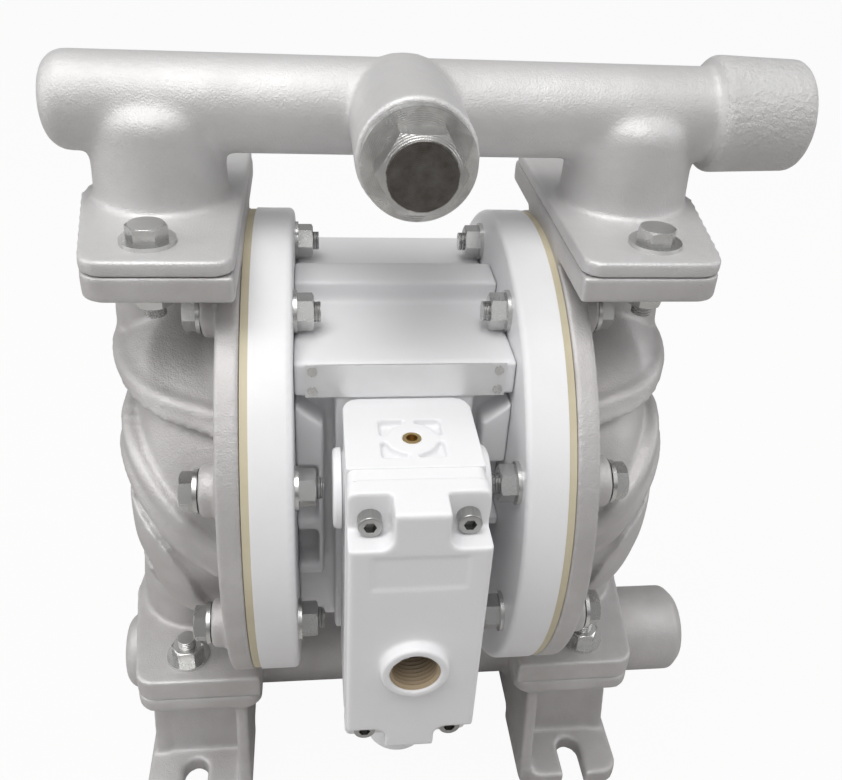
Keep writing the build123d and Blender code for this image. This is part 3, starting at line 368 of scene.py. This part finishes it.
@dataclass(frozen=True)
class ThreadedSteel(Finish):
    """Machined steel whose free ends carry a screw thread.

    Args:
        along: the coordinate that runs along the bolts.
        start: lowest distance from the middle plane at which the thread shows.
        stop: highest such distance.
        centre: coordinate of the middle plane.
        turn_height: height of half a turn in metres.
    """

    along: Direction = Direction.RIGHT
    start: float = 0.0
    stop: float = 0.0
    centre: float = 0.0
    turn_height: float = 0.0004

    def relief(self, tree: Tree, height: Socket) -> Socket:
        """Add the turns of the thread."""
        where = tree.add("TexCoord").outputs["Object"]
        axis = tree.add("SeparateXYZ", {0: where}).outputs[self.along.value]
        away = tree.math("ABSOLUTE", tree.math("SUBTRACT", axis, self.centre))
        limits = {"Along": away, "From": self.start, "To": self.stop}
        turns = tree.add("Group", limits, node_tree=SharedEffects.turns()).outputs["Height"]
        return tree.math("ADD", height, tree.math("MULTIPLY", turns, self.turn_height))


@dataclass(frozen=True)
class TurnedSteel(Finish):
    """Machined steel with the fine rings that a lathe leaves about one axis.

    Args:
        centre: a point of the turning axis, which runs from front to back.
        pitch: spacing of the rings in metres.
        ring_depth: depth of the rings in metres.
        face_r: radius of the stained face.
        face: its colour.
        ragged: how far the face's edge wanders in metres.
        face_gain: how sharply the face's edge sets in, to the metre.
        bare: least share of the stain anywhere on the face.
    """

    centre: Point = (0.0, 0.0, 0.0)
    pitch: float = 0.0007
    ring_depth: float = 0.00002
    face_r: float = 0.0
    face: Colour = (0.1, 0.1, 0.1)
    ragged: float = 0.0016
    face_gain: float = 2500.0
    bare: float = 0.62

    def radius(self, tree: Tree) -> Socket:
        """Distance of a point from the turning axis."""
        where = tree.add("TexCoord").outputs["Object"]
        flat = tree.add("VectorMath", {0: where, 1: self.centre}, operation="SUBTRACT").outputs[0]
        flat = tree.add("VectorMath", {0: flat, 1: (1.0, 0.0, 1.0)}, operation="MULTIPLY").outputs[0]
        return tree.add("VectorMath", {0: flat}, operation="LENGTH").outputs["Value"]

    def tint(self, tree: Tree, colour: Socket) -> Socket:
        """Darken the face inside its radius, unevenly as if stained."""
        where = tree.add("TexCoord").outputs["Object"]
        ragged = tree.math("MULTIPLY", tree.noise(where, 260.0, 5.0, 0.65), self.ragged)
        inside = tree.math("SUBTRACT", self.face_r, tree.math("ADD", self.radius(tree), ragged))
        inside = tree.math("MULTIPLY", inside, self.face_gain, clamp=True)
        patchy = tree.math("MULTIPLY", tree.noise(where, 180.0, 5.0, 0.6), 0.5)
        patchy = tree.math("ADD", patchy, self.bare, clamp=True)
        return tree.blend(tree.math("MULTIPLY", inside, patchy), colour, rgba(self.face))

    def relief(self, tree: Tree, height: Socket) -> Socket:
        """Add the turning rings."""
        wave = tree.math("MULTIPLY", self.radius(tree), 2 * math.pi / self.pitch)
        wave = tree.math("SINE", wave)
        return tree.math("ADD", height, tree.math("MULTIPLY", wave, self.ring_depth))


# In each finish below, the dark colour serves both the stains and the painted shade in the creases;
# the crease value sets that shade.
ALUMINIUM = SandCasting(
    "cast_aluminium", (0.66, 0.655, 0.655), (0.35, 0.33, 0.32), (0.86, 0.86, 0.86), 0.55, 0.60,
    fine=1500.0, coarse=260.0, coarse_share=1.2, depth=0.00020, cloud=0.25, edge=0.6, crease_shade=0.6,
    rough_from=0.1225,
)
CHAMBER_ALUMINIUM = SandCasting(
    "cast_aluminium_chamber", (0.60, 0.588, 0.588), (0.31, 0.29, 0.28), (0.82, 0.82, 0.82), 0.54, 0.60,
    fine=1400.0, coarse=240.0, coarse_share=1.3, depth=0.00018, cloud=0.40, edge=0.6, crease_shade=0.6,
)
WHITE_PLASTIC = Finish(
    "white_plastic", (0.81, 0.81, 0.825), (0.62, 0.60, 0.59), (0.88, 0.88, 0.89), 0.42, 0.0,
    fine=900.0, coarse=120.0, coarse_share=1.0, depth=0.00005, cloud=0.10, edge=0.25, crease_shade=0.25,
)
CREAM_RUBBER = Finish(
    "cream_rubber", (0.60, 0.54, 0.39), (0.40, 0.34, 0.22), (0.74, 0.69, 0.54), 0.6, 0.0,
    depth=0.00006, cloud=0.35, edge=0.2, crease_shade=0.3,
)
STEEL_LOOK = {
    "colour": (0.60, 0.60, 0.59), "dark": (0.25, 0.24, 0.22), "rubbed": (0.85, 0.85, 0.85),
    "roughness": 0.27, "metallic": 1.0, "fine": 2600.0, "coarse": 500.0, "coarse_share": 0.6,
    "depth": 0.00003, "cloud": 0.25, "edge": 0.4, "crease_shade": 0.5,
}
STEEL = Finish("stainless_steel", **STEEL_LOOK)
RIM_BOLT_STEEL = ThreadedSteel(
    "rim_bolt_steel", **STEEL_LOOK,
    along=Direction.RIGHT, start=0.0315, stop=0.0347,
)
DISCHARGE_BOLT_STEEL = ThreadedSteel(
    "discharge_bolt_steel", **STEEL_LOOK,
    along=Direction.UP, start=0.0, stop=0.0055, centre=0.2675,
)
INLET_BOLT_STEEL = ThreadedSteel(
    "inlet_bolt_steel", **STEEL_LOOK,
    along=Direction.UP, start=0.0, stop=0.0055, centre=0.0955,
)
PLUG_STEEL = TurnedSteel(
    "plug_steel", (0.50, 0.495, 0.485), (0.20, 0.19, 0.18), (0.80, 0.80, 0.79), 0.32, 0.95,
    fine=2200.0, coarse=350.0, coarse_share=1.4, depth=0.00010, cloud=0.45, edge=0.9, crease_shade=0.5,
    centre=(0.0, 0.0, TUBE_Z), face_r=0.0128, face=(0.085, 0.075, 0.066),
)
SCREW_STEEL = Finish(
    "screw_steel", (0.42, 0.42, 0.41), (0.14, 0.14, 0.13), (0.72, 0.72, 0.72), 0.32, 1.0,
    fine=2600.0, coarse=500.0, coarse_share=0.6, depth=0.00004, cloud=0.3, edge=0.5, crease_shade=0.6,
)
BRASS = Finish(
    "brass", (0.70, 0.50, 0.22), (0.25, 0.16, 0.06), (0.90, 0.74, 0.42), 0.3, 1.0,
    depth=0.00003, cloud=0.3, edge=0.5, crease_shade=0.5,
)
BARE_PLATE = Finish(
    "bare_plate", (0.78, 0.785, 0.79), (0.60, 0.60, 0.60), (0.90, 0.90, 0.90), 0.36, 0.7,
    fine=3000.0, coarse=200.0, coarse_share=0.3, depth=0.00003, cloud=0.12, edge=0.3, crease_shade=0.2,
)
PORT_PLASTIC = Finish(
    "port_plastic", (0.42, 0.33, 0.22), (0.20, 0.14, 0.08), (0.62, 0.52, 0.38), 0.45, 0.0,
    depth=0.00005, cloud=0.3, edge=0.4, crease_shade=0.5,
)
SEAT_PLASTIC = Finish(
    "seat_plastic", (0.78, 0.78, 0.76), (0.55, 0.54, 0.50), (0.85, 0.85, 0.84), 0.45, 0.0,
    depth=0.00005, cloud=0.1,
)
VALVE_PLASTIC = Finish(
    "valve_plastic", (0.50, 0.51, 0.53), (0.25, 0.25, 0.26), (0.62, 0.62, 0.64), 0.4, 0.0,
    depth=0.00005, cloud=0.1,
)
BALL_RUBBER = Finish(
    "ball_rubber", (0.52, 0.15, 0.07), (0.25, 0.06, 0.03), (0.60, 0.22, 0.12), 0.5, 0.0,
    depth=0.00005, cloud=0.2,
)
SEAL_RUBBER = Finish(
    "seal_rubber", (0.04, 0.04, 0.04), (0.02, 0.02, 0.02), (0.08, 0.08, 0.08), 0.6, 0.0,
    depth=0.00005, cloud=0.2,
)


# ---------------------------------------------------------------- modelling helpers


def calm() -> None:
    """Leave edit mode and deselect everything."""
    if bpy.context.object and bpy.context.object.mode != "OBJECT":
        bpy.ops.object.mode_set(mode="OBJECT")
    bpy.ops.object.select_all(action="DESELECT")


def activate(piece: bpy.types.Object) -> None:
    """Make one object the only selected and the active one."""
    calm()
    piece.select_set(True)
    bpy.context.view_layer.objects.active = piece


def settle(
    piece: bpy.types.Object, name: str, body: str, finish: Finish
) -> bpy.types.Object:
    """Name a finished piece, put its place into its mesh, dress it and let it ride on a body.

    Args:
        piece: the object, wherever it stands.
        name: its final name.
        body: the moving or fixed body that carries it.
        finish: its finish.

    Returns:
        The same object.
    """
    activate(piece)
    bpy.ops.object.transform_apply(location=True, rotation=True, scale=True)
    piece.name = name
    piece.data.name = name
    piece.data.materials.clear()
    piece.data.materials.append(finish.build())
    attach(piece, body)
    LOG.info("piece %s: %d faces on %s", name, len(piece.data.polygons), body)
    return piece


@dataclass(frozen=True)
class Zone:
    """A box, mirrored about x = 0, in which a casting's corners are blended further.

    Args:
        low: smallest |x|, y and z.
        high: largest |x|, y and z.
        fade: width over which the blending fades inside the box.
        rounds: extra smoothing rounds.
    """

    low: Point
    high: Point
    fade: float
    rounds: int

    def weight(self, point: Vector) -> float:
        """Share of the blending at a point, 0 outside the box."""
        there = (abs(point.x), point.y, point.z)
        depth = min(min(v - a, b - v) for v, a, b in zip(there, self.low, self.high))
        return max(0.0, min(1.0, depth / self.fade))

    def blend(self, piece: bpy.types.Object) -> None:
        """Smooth a piece in the box."""
        group = piece.vertex_groups.new(name="zone")
        for vertex in piece.data.vertices:
            share = self.weight(vertex.co)
            if share > 0.0:
                group.add([vertex.index], share, "REPLACE")
        soft = piece.modifiers.new("zone", "SMOOTH")
        soft.factor = SMOOTH_SHARE
        soft.iterations = self.rounds
        soft.vertex_group = group.name
        bpy.ops.object.modifier_apply(modifier=soft.name)
        piece.vertex_groups.clear()


def rolled_bead(points: list[Point], radius: float) -> bpy.types.Object:
    """Model a round bead along a line of points.

    Args:
        points: the bead's centre line.
        radius: its radius.

    Returns:
        The bead, closed at both ends.
    """
    calm()
    line = bpy.data.curves.new("bead", "CURVE")
    line.dimensions = "3D"
    line.bevel_depth = radius
    line.bevel_resolution = BEAD_RESOLUTION
    line.use_fill_caps = True
    spline = line.splines.new("POLY")
    spline.points.add(len(points) - 1)
    for slot, point in zip(spline.points, points):
        slot.co = (*point, 1.0)
    piece = bpy.data.objects.new("bead", line)
    bpy.context.scene.collection.objects.link(piece)
    activate(piece)
    bpy.ops.object.convert(target="MESH")
    return bpy.context.object


def softened(
    node: bpy.types.Object, name: str, voxel: float, rounds: int,
    zones: tuple[Zone, ...] = (), beads: tuple[bpy.types.Object, ...] = (),
) -> bpy.types.Object:
    """Copy a solid and give its edges and inner corners the soft radii of a moulding.

    Args:
        node: the frame's own object, which stays as it is.
        name: name of the copy.
        voxel: size of the skin's cells in metres; the radii are about twice this.
        rounds: smoothing rounds, which widen the radii.
        zones: boxes in which the corners are blended further.
        beads: closed pieces that the skin takes in.

    Returns:
        The new object at the origin.
    """
    calm()
    piece = bpy.data.objects.new(name, node.data.copy())
    bpy.context.scene.collection.objects.link(piece)
    activate(piece)
    for bead in beads:
        bead.select_set(True)
    if beads:
        bpy.ops.object.join()
    bpy.ops.object.mode_set(mode="EDIT")
    bpy.ops.mesh.select_all(action="SELECT")
    bpy.ops.mesh.remove_doubles(threshold=WELD)
    bpy.ops.object.mode_set(mode="OBJECT")
    skin = piece.modifiers.new("skin", "REMESH")
    skin.mode = "VOXEL"
    skin.voxel_size = voxel
    bpy.ops.object.modifier_apply(modifier=skin.name)
    soft = piece.modifiers.new("soft", "SMOOTH")
    soft.factor = SMOOTH_SHARE
    soft.iterations = rounds
    bpy.ops.object.modifier_apply(modifier=soft.name)
    for zone in zones:
        zone.blend(piece)
    bpy.ops.object.shade_smooth()
    return piece


def turned(
    profile: list[tuple[float, float]], centre: Point, along: Direction, steps: int
) -> bpy.types.Object:
    """Turn a profile about an axis, as on a lathe.

    Args:
        profile: points as distance along the axis from the centre, and radius.
        centre: a point of the axis.
        along: the axis.
        steps: steps of the full turn.

    Returns:
        The new object, smooth but for its sharp corners.
    """
    calm()
    bpy.ops.mesh.primitive_plane_add(size=0.001, location=centre)
    piece = bpy.context.object
    axis = Vector([1.0 if i == along.value else 0.0 for i in range(3)])
    across = Vector((1.0, 0.0, 0.0)) if along is Direction.UP else Vector((0.0, 0.0, 1.0))
    bpy.ops.object.mode_set(mode="EDIT")
    bpy.ops.mesh.select_all(action="SELECT")
    bpy.ops.mesh.merge(type="CENTER")
    at = axis * profile[0][0] + across * profile[0][1]
    bpy.ops.transform.translate(value=at)
    for step, radius in profile[1:]:
        there = axis * step + across * radius
        bpy.ops.mesh.extrude_region_move(TRANSFORM_OT_translate={"value": there - at})
        at = there
    bpy.ops.mesh.select_all(action="SELECT")
    bpy.ops.mesh.spin(steps=steps, angle=2 * math.pi, center=centre, axis=axis)
    bpy.ops.mesh.select_all(action="SELECT")
    bpy.ops.mesh.remove_doubles(threshold=SPIN_WELD)
    bpy.ops.mesh.normals_make_consistent(inside=False)
    bpy.ops.object.mode_set(mode="OBJECT")
    bpy.ops.object.shade_smooth_by_angle(angle=SHARP_ANGLE)
    return piece


def thread_ring(
    centre: Point, along: Direction, inward: float, length: float, root: float, pitch: float,
    depth: float,
) -> bpy.types.Object:
    """Model the turns of a threaded port as a thin ribbed sleeve in its bore.

    Args:
        centre: centre of the port's mouth.
        along: direction of the port.
        inward: 1 or -1, the way into the port along that direction.
        length: threaded length.
        root: radius at the thread's root, just inside the bore wall.
        pitch: spacing of the turns.
        depth: depth of the thread.

    Returns:
        The sleeve.
    """
    profile = [(0.0, root), (inward * pitch * THREAD_LEAD, root)]
    for turn in range(int(length / pitch) - 1):
        start = pitch * (turn + THREAD_LEAD)
        for share in THREAD_CREST:
            profile.append((inward * (start + pitch * share), root - depth))
        profile.append((inward * (start + pitch), root))
    outer = root + SLEEVE_WALL
    profile += [(inward * length, root), (inward * length, outer), (0.0, outer), (0.0, root)]
    return turned(profile, centre, along, THREAD_STEPS)


# ---------------------------------------------------------------- sub-assemblies


@dataclass
class SubAssembly:
    """A group of the pump's pieces.

    Args:
        nodes: the frame's nodes by name.
        body: the body that carries the new pieces.
    """

    nodes: dict[str, bpy.types.Object]
    body: str = "housing"

    def dress(self, finish: Finish, *names: str) -> None:
        """Give frame nodes a finish in place of their plain one."""
        for name in names:
            node = self.nodes[name]
            node.data.materials.clear()
            node.data.materials.append(finish.build())
            LOG.info("node %s: finish %s", name, finish.name)

    def recast(
        self, node: str, name: str, slot: str, finish: Finish, voxel: float, rounds: int,
        zones: tuple[Zone, ...] = (), beads: tuple[bpy.types.Object, ...] = (),
    ) -> bpy.types.Object:
        """Put a softened copy in the place of a frame node.

        Args:
            node: the node that the copy stands for.
            name: the copy's name.
            slot: not used.
            finish: its finish.
            voxel: cell size of the softening.
            rounds: smoothing rounds.
            zones: boxes in which the corners are blended further.
            beads: closed pieces that the copy takes in.

        Returns:
            The copy.
        """
        piece = softened(self.nodes[node], name, voxel, rounds, zones, beads)
        settle(piece, name, self.body, finish)
        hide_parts(node)
        return piece


@dataclass(frozen=True)
class Crown:
    """Outline of a dome turned about the shaft: shoulder, corner and rim of its flat end.

    Args:
        shoulder: x and radius where the dome starts to close.
        corner: a point of the rounded corner.
        end: x and radius of the flat end.
    """

    shoulder: tuple[float, float]
    corner: tuple[float, float]
    end: tuple[float, float]

    def radius(self, x: float) -> float:
        """Radius of the dome at a distance along the shaft."""
        if x <= self.shoulder[0]:
            return self.shoulder[1]
        (ax, ar), (bx, br), (cx, cr) = self.shoulder, self.corner, self.end
        scale = 2.0 * (ax * (br - cr) + bx * (cr - ar) + cx * (ar - br))
        a, b, c = (x * x + r * r for x, r in (self.shoulder, self.corner, self.end))
        mid_x = (a * (br - cr) + b * (cr - ar) + c * (ar - br)) / scale
        mid_r = (a * (cx - bx) + b * (ax - cx) + c * (bx - ax)) / scale
        reach = math.hypot(ax - mid_x, ar - mid_r)
        return mid_r + math.sqrt(max(0.0, reach**2 - (min(x, cx) - mid_x) ** 2))


@dataclass(frozen=True)
class Roll:
    """A rolled lip where a slanting plane meets a dome.

    Args:
        crown: the dome.
        start: x and height over the shaft where the plane leaves the rim.
        stop: x and height of the plane at its outer end.
        radius: radius of the roll.
        sink: how far its centre lies under the dome.
        steps: steps of its centre line on each half.
        nose: the least distance from the middle plane at which a half ends.
    """

    crown: Crown
    start: tuple[float, float]
    stop: tuple[float, float]
    radius: float
    sink: float
    steps: int = 40
    nose: float = 0.004

    def line(self, side: int) -> list[Point]:
        """Centre line of the roll on one side of the pump, from front to back."""
        half = []
        for step in range(self.steps + 1):
            share = step / self.steps
            x = self.start[0] + share * (self.stop[0] - self.start[0])
            level = self.start[1] + share * (self.stop[1] - self.start[1])
            across = (self.crown.radius(x) - self.sink) ** 2 - level**2
            if across <= 0.0:
                break
            half.append((x, level, math.sqrt(across)))
        last_x, last_level, last_y = half[-1]
        if last_y > self.nose:
            half.append((last_x, last_level, self.nose))
        front = [(side * x, -y, level + SHAFT_Z) for x, level, y in half]
        back = [(side * x, y, level + SHAFT_Z) for x, level, y in reversed(half)]
        return front + back

    def model(self, side: int) -> bpy.types.Object:
        """Model the roll on one side of the pump."""
        return rolled_bead(self.line(side), self.radius)


HORN_CROWN = Crown((0.0900, 0.0806), (0.1065, 0.0730), (0.1175, 0.0500))
SKIRT_CROWN = Crown((0.0860, 0.0800), (0.1033, 0.0683), (0.1110, 0.0440))


@dataclass
class LiquidEnds(SubAssembly):
    """The two domed liquid chambers with their horns, necks and flanges."""

    voxel: float = 0.0011
    rounds: int = 5
    dome: Zone = Zone((0.074, -0.095, 0.098), (0.125, 0.095, 0.262), 0.004, 14)
    rolls: tuple[Roll, ...] = (
        Roll(HORN_CROWN, (0.0730, 0.0500), (0.1175, 0.0611), 0.0050, 0.0036),
        Roll(SKIRT_CROWN, (0.0730, 0.0000), (0.1105, 0.0375), 0.0036, 0.0022),
        Roll(SKIRT_CROWN, (0.0730, -0.0117), (0.1105, 0.0295), 0.0040, 0.0022),
    )

    def build(self) -> None:
        """Model and dress both chambers."""
        for hand, side in (("left", -1), ("right", 1)):
            beads = tuple(roll.model(side) for roll in self.rolls)
            self.recast(f"liquid_chamber_{hand}", f"{hand}_chamber_casting", "cast_aluminium",
                        CHAMBER_ALUMINIUM, self.voxel, self.rounds, (self.dome,), beads)
            self.dress(CREAM_RUBBER, f"diaphragm_{hand}")


@dataclass
class Manifolds(SubAssembly):
    """Discharge manifold with its blanking plug, and suction manifold with the feet."""

    voxel: float = 0.0013
    rounds: int = 7
    outlet_end: float = 0.160
    suction_end: float = 0.168
    mouth_inset: float = 0.001
    thread_length: float = 0.0185
    thread_root: float = 0.0151
    thread_pitch: float = 0.0023
    thread_depth: float = 0.0011
    stub: Zone = Zone((0.058, -0.034, 0.296), (0.121, 0.034, 0.348), 0.006, 30)

    def build(self) -> None:
        """Model and dress the manifolds, the plug and the port threads."""
        self.recast("discharge_manifold", "discharge_casting", "cast_aluminium", ALUMINIUM,
                    self.voxel, self.rounds, (self.stub,))
        self.recast("inlet_manifold", "suction_casting", "cast_aluminium", CHAMBER_ALUMINIUM,
                    self.voxel, self.rounds)
        for name, end_x, level in (
            ("outlet_thread", self.outlet_end, TUBE_Z),
            ("suction_thread", self.suction_end, SUCTION_Z),
        ):
            mouth = (end_x - self.mouth_inset, 0.0, level)
            ring = thread_ring(mouth, Direction.RIGHT, -1.0, self.thread_length, self.thread_root,
                               self.thread_pitch, self.thread_depth)
            settle(ring, name, self.body, CHAMBER_ALUMINIUM)
        self.dress(PLUG_STEEL, "center_plug")
        self.dress(SEAL_RUBBER, "plug_seal")


@dataclass
class AirSide(SubAssembly):
    """Centre block, air chambers and the bare plate on the deck."""

    voxel: float = 0.0012
    rounds: int = 4

    def build(self) -> None:
        """Model and dress the white air side."""
        self.recast("center_block", "block_moulding", "white_plastic", WHITE_PLASTIC,
                    self.voxel, self.rounds)
        for hand in ("left", "right"):
            self.dress(WHITE_PLASTIC, f"air_chamber_{hand}")
        self.dress(BARE_PLATE, "name_plate")
        self.dress(STEEL, "plate_pins")


@dataclass
class AirValve(SubAssembly):
    """Air valve on the front of the block."""

    voxel: float = 0.0007
    rounds: int = 4
    port_front: float = -0.1335
    port_level: float = 0.166
    thread_length: float = 0.020
    thread_root: float = 0.00925
    thread_pitch: float = 0.0018
    thread_depth: float = 0.0009

    def build(self) -> None:
        """Model and dress the valve body, its cover, caps, screws and the air port."""
        self.recast("air_valve_body", "valve_moulding", "white_plastic", WHITE_PLASTIC,
                    self.voxel, self.rounds)
        self.recast("air_valve_cover", "valve_cover_moulding", "white_plastic", WHITE_PLASTIC,
                    self.voxel, self.rounds)
        mouth = (0.0, self.port_front, self.port_level)
        ring = thread_ring(mouth, Direction.BACK, 1.0, self.thread_length, self.thread_root,
                           self.thread_pitch, self.thread_depth)
        settle(ring, "air_port_thread", self.body, PORT_PLASTIC)
        self.dress(WHITE_PLASTIC, "valve_plate", "valve_side_caps", "tail_cap")
        self.dress(SCREW_STEEL, "valve_screws")
        self.dress(BRASS, "brass_insert")


@dataclass
class Fasteners(SubAssembly):
    """Bolts, nuts and washers of the rims and of the port flanges."""

    def build(self) -> None:
        """Dress every row of fasteners."""
        for hand in ("left", "right"):
            self.dress(RIM_BOLT_STEEL, f"rim_bolts_{hand}")
            self.dress(STEEL, f"rim_nuts_{hand}", f"rim_washers_{hand}")
        self.dress(DISCHARGE_BOLT_STEEL, "discharge_bolts")
        self.dress(INLET_BOLT_STEEL, "inlet_bolts")
        self.dress(STEEL, "discharge_nuts", "discharge_washers", "inlet_nuts", "inlet_washers")


@dataclass
class InnerWorks(SubAssembly):
    """Pieces inside the pump: check valves, shaft, pistons, bushes and spools."""

    voxel: float = 0.0009
    rounds: int = 18

    def build(self) -> None:
        """Dress the inner pieces and soften the valve spool as its bore is."""
        for hand in ("left", "right"):
            self.dress(SEAT_PLASTIC, f"inlet_seat_{hand}", f"discharge_seat_{hand}")
            self.dress(BALL_RUBBER, f"inlet_ball_{hand}", f"discharge_ball_{hand}")
            self.dress(SEAL_RUBBER, f"port_seals_{hand}")
            self.dress(STEEL, f"inner_piston_{hand}", f"outer_piston_{hand}")
            self.dress(BRASS, f"shaft_bush_{hand}")
        self.dress(STEEL, "shaft", "pilot_spool")
        self.dress(VALVE_PLASTIC, "pilot_sleeve")
        spool = SubAssembly(self.nodes, "valve_spool")
        spool.recast("valve_spool", "spool_moulding", "valve_plastic", VALVE_PLASTIC,
                     self.voxel, self.rounds)


# ---------------------------------------------------------------- studio


@dataclass(frozen=True)
class Lamp:
    """One square area lamp that faces the pump.

    Args:
        name: its name.
        spot: its place.
        size: its side in metres.
        power: its power in watts.
        tint: its colour.
        aim: the point that it faces.
    """

    name: str
    spot: Point
    size: float
    power: float
    tint: Colour = (1.0, 1.0, 1.0)
    aim: Point = (0.0, 0.0, 0.2)

    def hang(self) -> None:
        """Hang the lamp."""
        data = bpy.data.lights.new(self.name, "AREA")
        data.shape = "SQUARE"
        data.size = self.size
        data.energy = self.power
        data.color = self.tint
        lamp = bpy.data.objects.new(self.name, data)
        bpy.context.scene.collection.objects.link(lamp)
        lamp.location = self.spot
        facing = Vector(self.aim) - Vector(self.spot)
        lamp.rotation_euler = facing.to_track_quat("-Z", "Y").to_euler()


@dataclass
class Studio:
    """Camera, lamps, world and floor.

    Args:
        spot: the camera's place.
        yaw: its turn to the right, in degrees.
        pitch: its fall, in degrees.
        roll: its roll, in degrees.
        focal: focal length in pixels of a frame as wide as the given width.
        width: frame width in pixels.
        sensor: sensor width in millimetres.
        clip: nearest and farthest distance that the camera shows.
        horizon: level of the plain light from the sides.
        zenith: level of the plain light from above.
        fade: sine of the heights between which the light rises.
        floor_size: side of the floor in metres.
        floor_gap: how far the floor lies under the feet.
        floor_colour: colour that the floor gives to the pump.
        floor_white: share of plain white in the floor as the camera shows it.
        lamps: the lamps.
    """

    spot: Point = (-0.0350, -0.3567, 0.4314)
    yaw: float = 7.86
    pitch: float = 32.49
    roll: float = 3.49
    focal: float = 918.62
    width: float = 842.0
    sensor: float = 36.0
    clip: tuple[float, float] = (0.01, 60.0)
    horizon: float = 0.16
    zenith: float = 0.50
    fade: tuple[float, float] = (-0.1, 0.9)
    floor_size: float = 30.0
    floor_gap: float = 0.0003
    floor_colour: Colour = (0.50, 0.49, 0.48)
    floor_white: float = 0.95
    lamps: tuple[Lamp, ...] = (
        Lamp("top_softbox", (-0.30, -0.45, 1.65), 1.1, 16.0, (1.0, 0.995, 0.985)),
        Lamp("left_softbox", (-1.4, -0.15, 0.8), 0.9, 7.0),
        Lamp("right_softbox", (1.4, -0.10, 0.8), 0.9, 5.0),
        Lamp("front_softbox", (0.15, -1.1, 1.25), 1.2, 1.6),
    )

    def camera(self) -> None:
        """Set the camera."""
        yaw, pitch, roll = (math.radians(v) for v in (self.yaw, self.pitch, self.roll))
        ahead = Vector((
            math.sin(yaw) * math.cos(pitch), math.cos(yaw) * math.cos(pitch), -math.sin(pitch),
        ))
        level = Vector((math.cos(yaw), -math.sin(yaw), 0.0))
        above = level.cross(ahead)
        right = level * math.cos(roll) + above * math.sin(roll)
        top = above * math.cos(roll) - level * math.sin(roll)
        data = bpy.data.cameras.new("camera")
        data.sensor_fit = "HORIZONTAL"
        data.sensor_width = self.sensor
        data.lens = self.focal / self.width * self.sensor
        data.clip_start, data.clip_end = self.clip
        camera = bpy.data.objects.new("camera", data)
        bpy.context.scene.collection.objects.link(camera)
        turn = Matrix((right, top, -ahead)).transposed().to_4x4()
        camera.matrix_world = Matrix.Translation(self.spot) @ turn
        bpy.context.scene.camera = camera

    def world(self) -> None:
        """Light from above fading towards the horizon, before a white backdrop."""
        world = bpy.data.worlds.new("studio")
        world.use_nodes = True
        world.node_tree.nodes.clear()
        tree = Tree(world.node_tree)
        facing = tree.add("TexCoord").outputs["Generated"]
        height = tree.add("SeparateXYZ", {0: facing}).outputs["Z"]
        rise = self.zenith - self.horizon
        level = tree.math("MULTIPLY", tree.ramp(height, *self.fade), rise)
        level = tree.math("ADD", level, self.horizon)
        light = tree.add("Background", {"Color": WHITE, "Strength": level})
        white = tree.add("Background", {"Color": WHITE, "Strength": 1.0})
        seen = tree.add("LightPath").outputs["Is Camera Ray"]
        mix = tree.add("MixShader", {0: seen, 1: light.outputs[0], 2: white.outputs[0]})
        tree.add("OutputWorld", {"Surface": mix.outputs[0]})
        bpy.context.scene.world = world

    def floor(self) -> None:
        """Lay the pale floor, which keeps a soft shadow."""
        calm()
        bpy.ops.mesh.primitive_plane_add(
            size=self.floor_size, location=(0.0, 0.0, -self.floor_gap))
        floor = bpy.context.object
        floor.name = "floor"
        material, tree = new_material("pale_floor")
        path = tree.add("LightPath").outputs
        matte = tree.add("BsdfDiffuse", {"Color": rgba(self.floor_colour)})
        white = tree.add("Emission", {"Color": WHITE, "Strength": 1.0})
        seen = tree.math("MULTIPLY", path["Is Camera Ray"], self.floor_white)
        mix = tree.add("MixShader", {0: seen, 1: matte.outputs[0], 2: white.outputs[0]})
        tree.add("OutputMaterial", {"Surface": mix.outputs[0]})
        floor.data.materials.append(material)

    def build(self) -> None:
        """Set up the whole studio."""
        self.camera()
        self.world()
        self.floor()
        for lamp in self.lamps:
            lamp.hang()
        bpy.context.scene.view_settings.view_transform = "Standard"


def main() -> None:
    """Dress the frame, build the studio and note the sizes."""
    logging.basicConfig(level=logging.INFO, format="%(name)s %(message)s")
    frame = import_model()
    nodes = frame["nodes"]
    Studio().build()
    for part in (LiquidEnds, Manifolds, AirSide, AirValve, Fasteners, InnerWorks):
        part(nodes).build()
        LOG.info("%s done", part.__name__)
    calm()


if __name__ == "__main__":
    main()
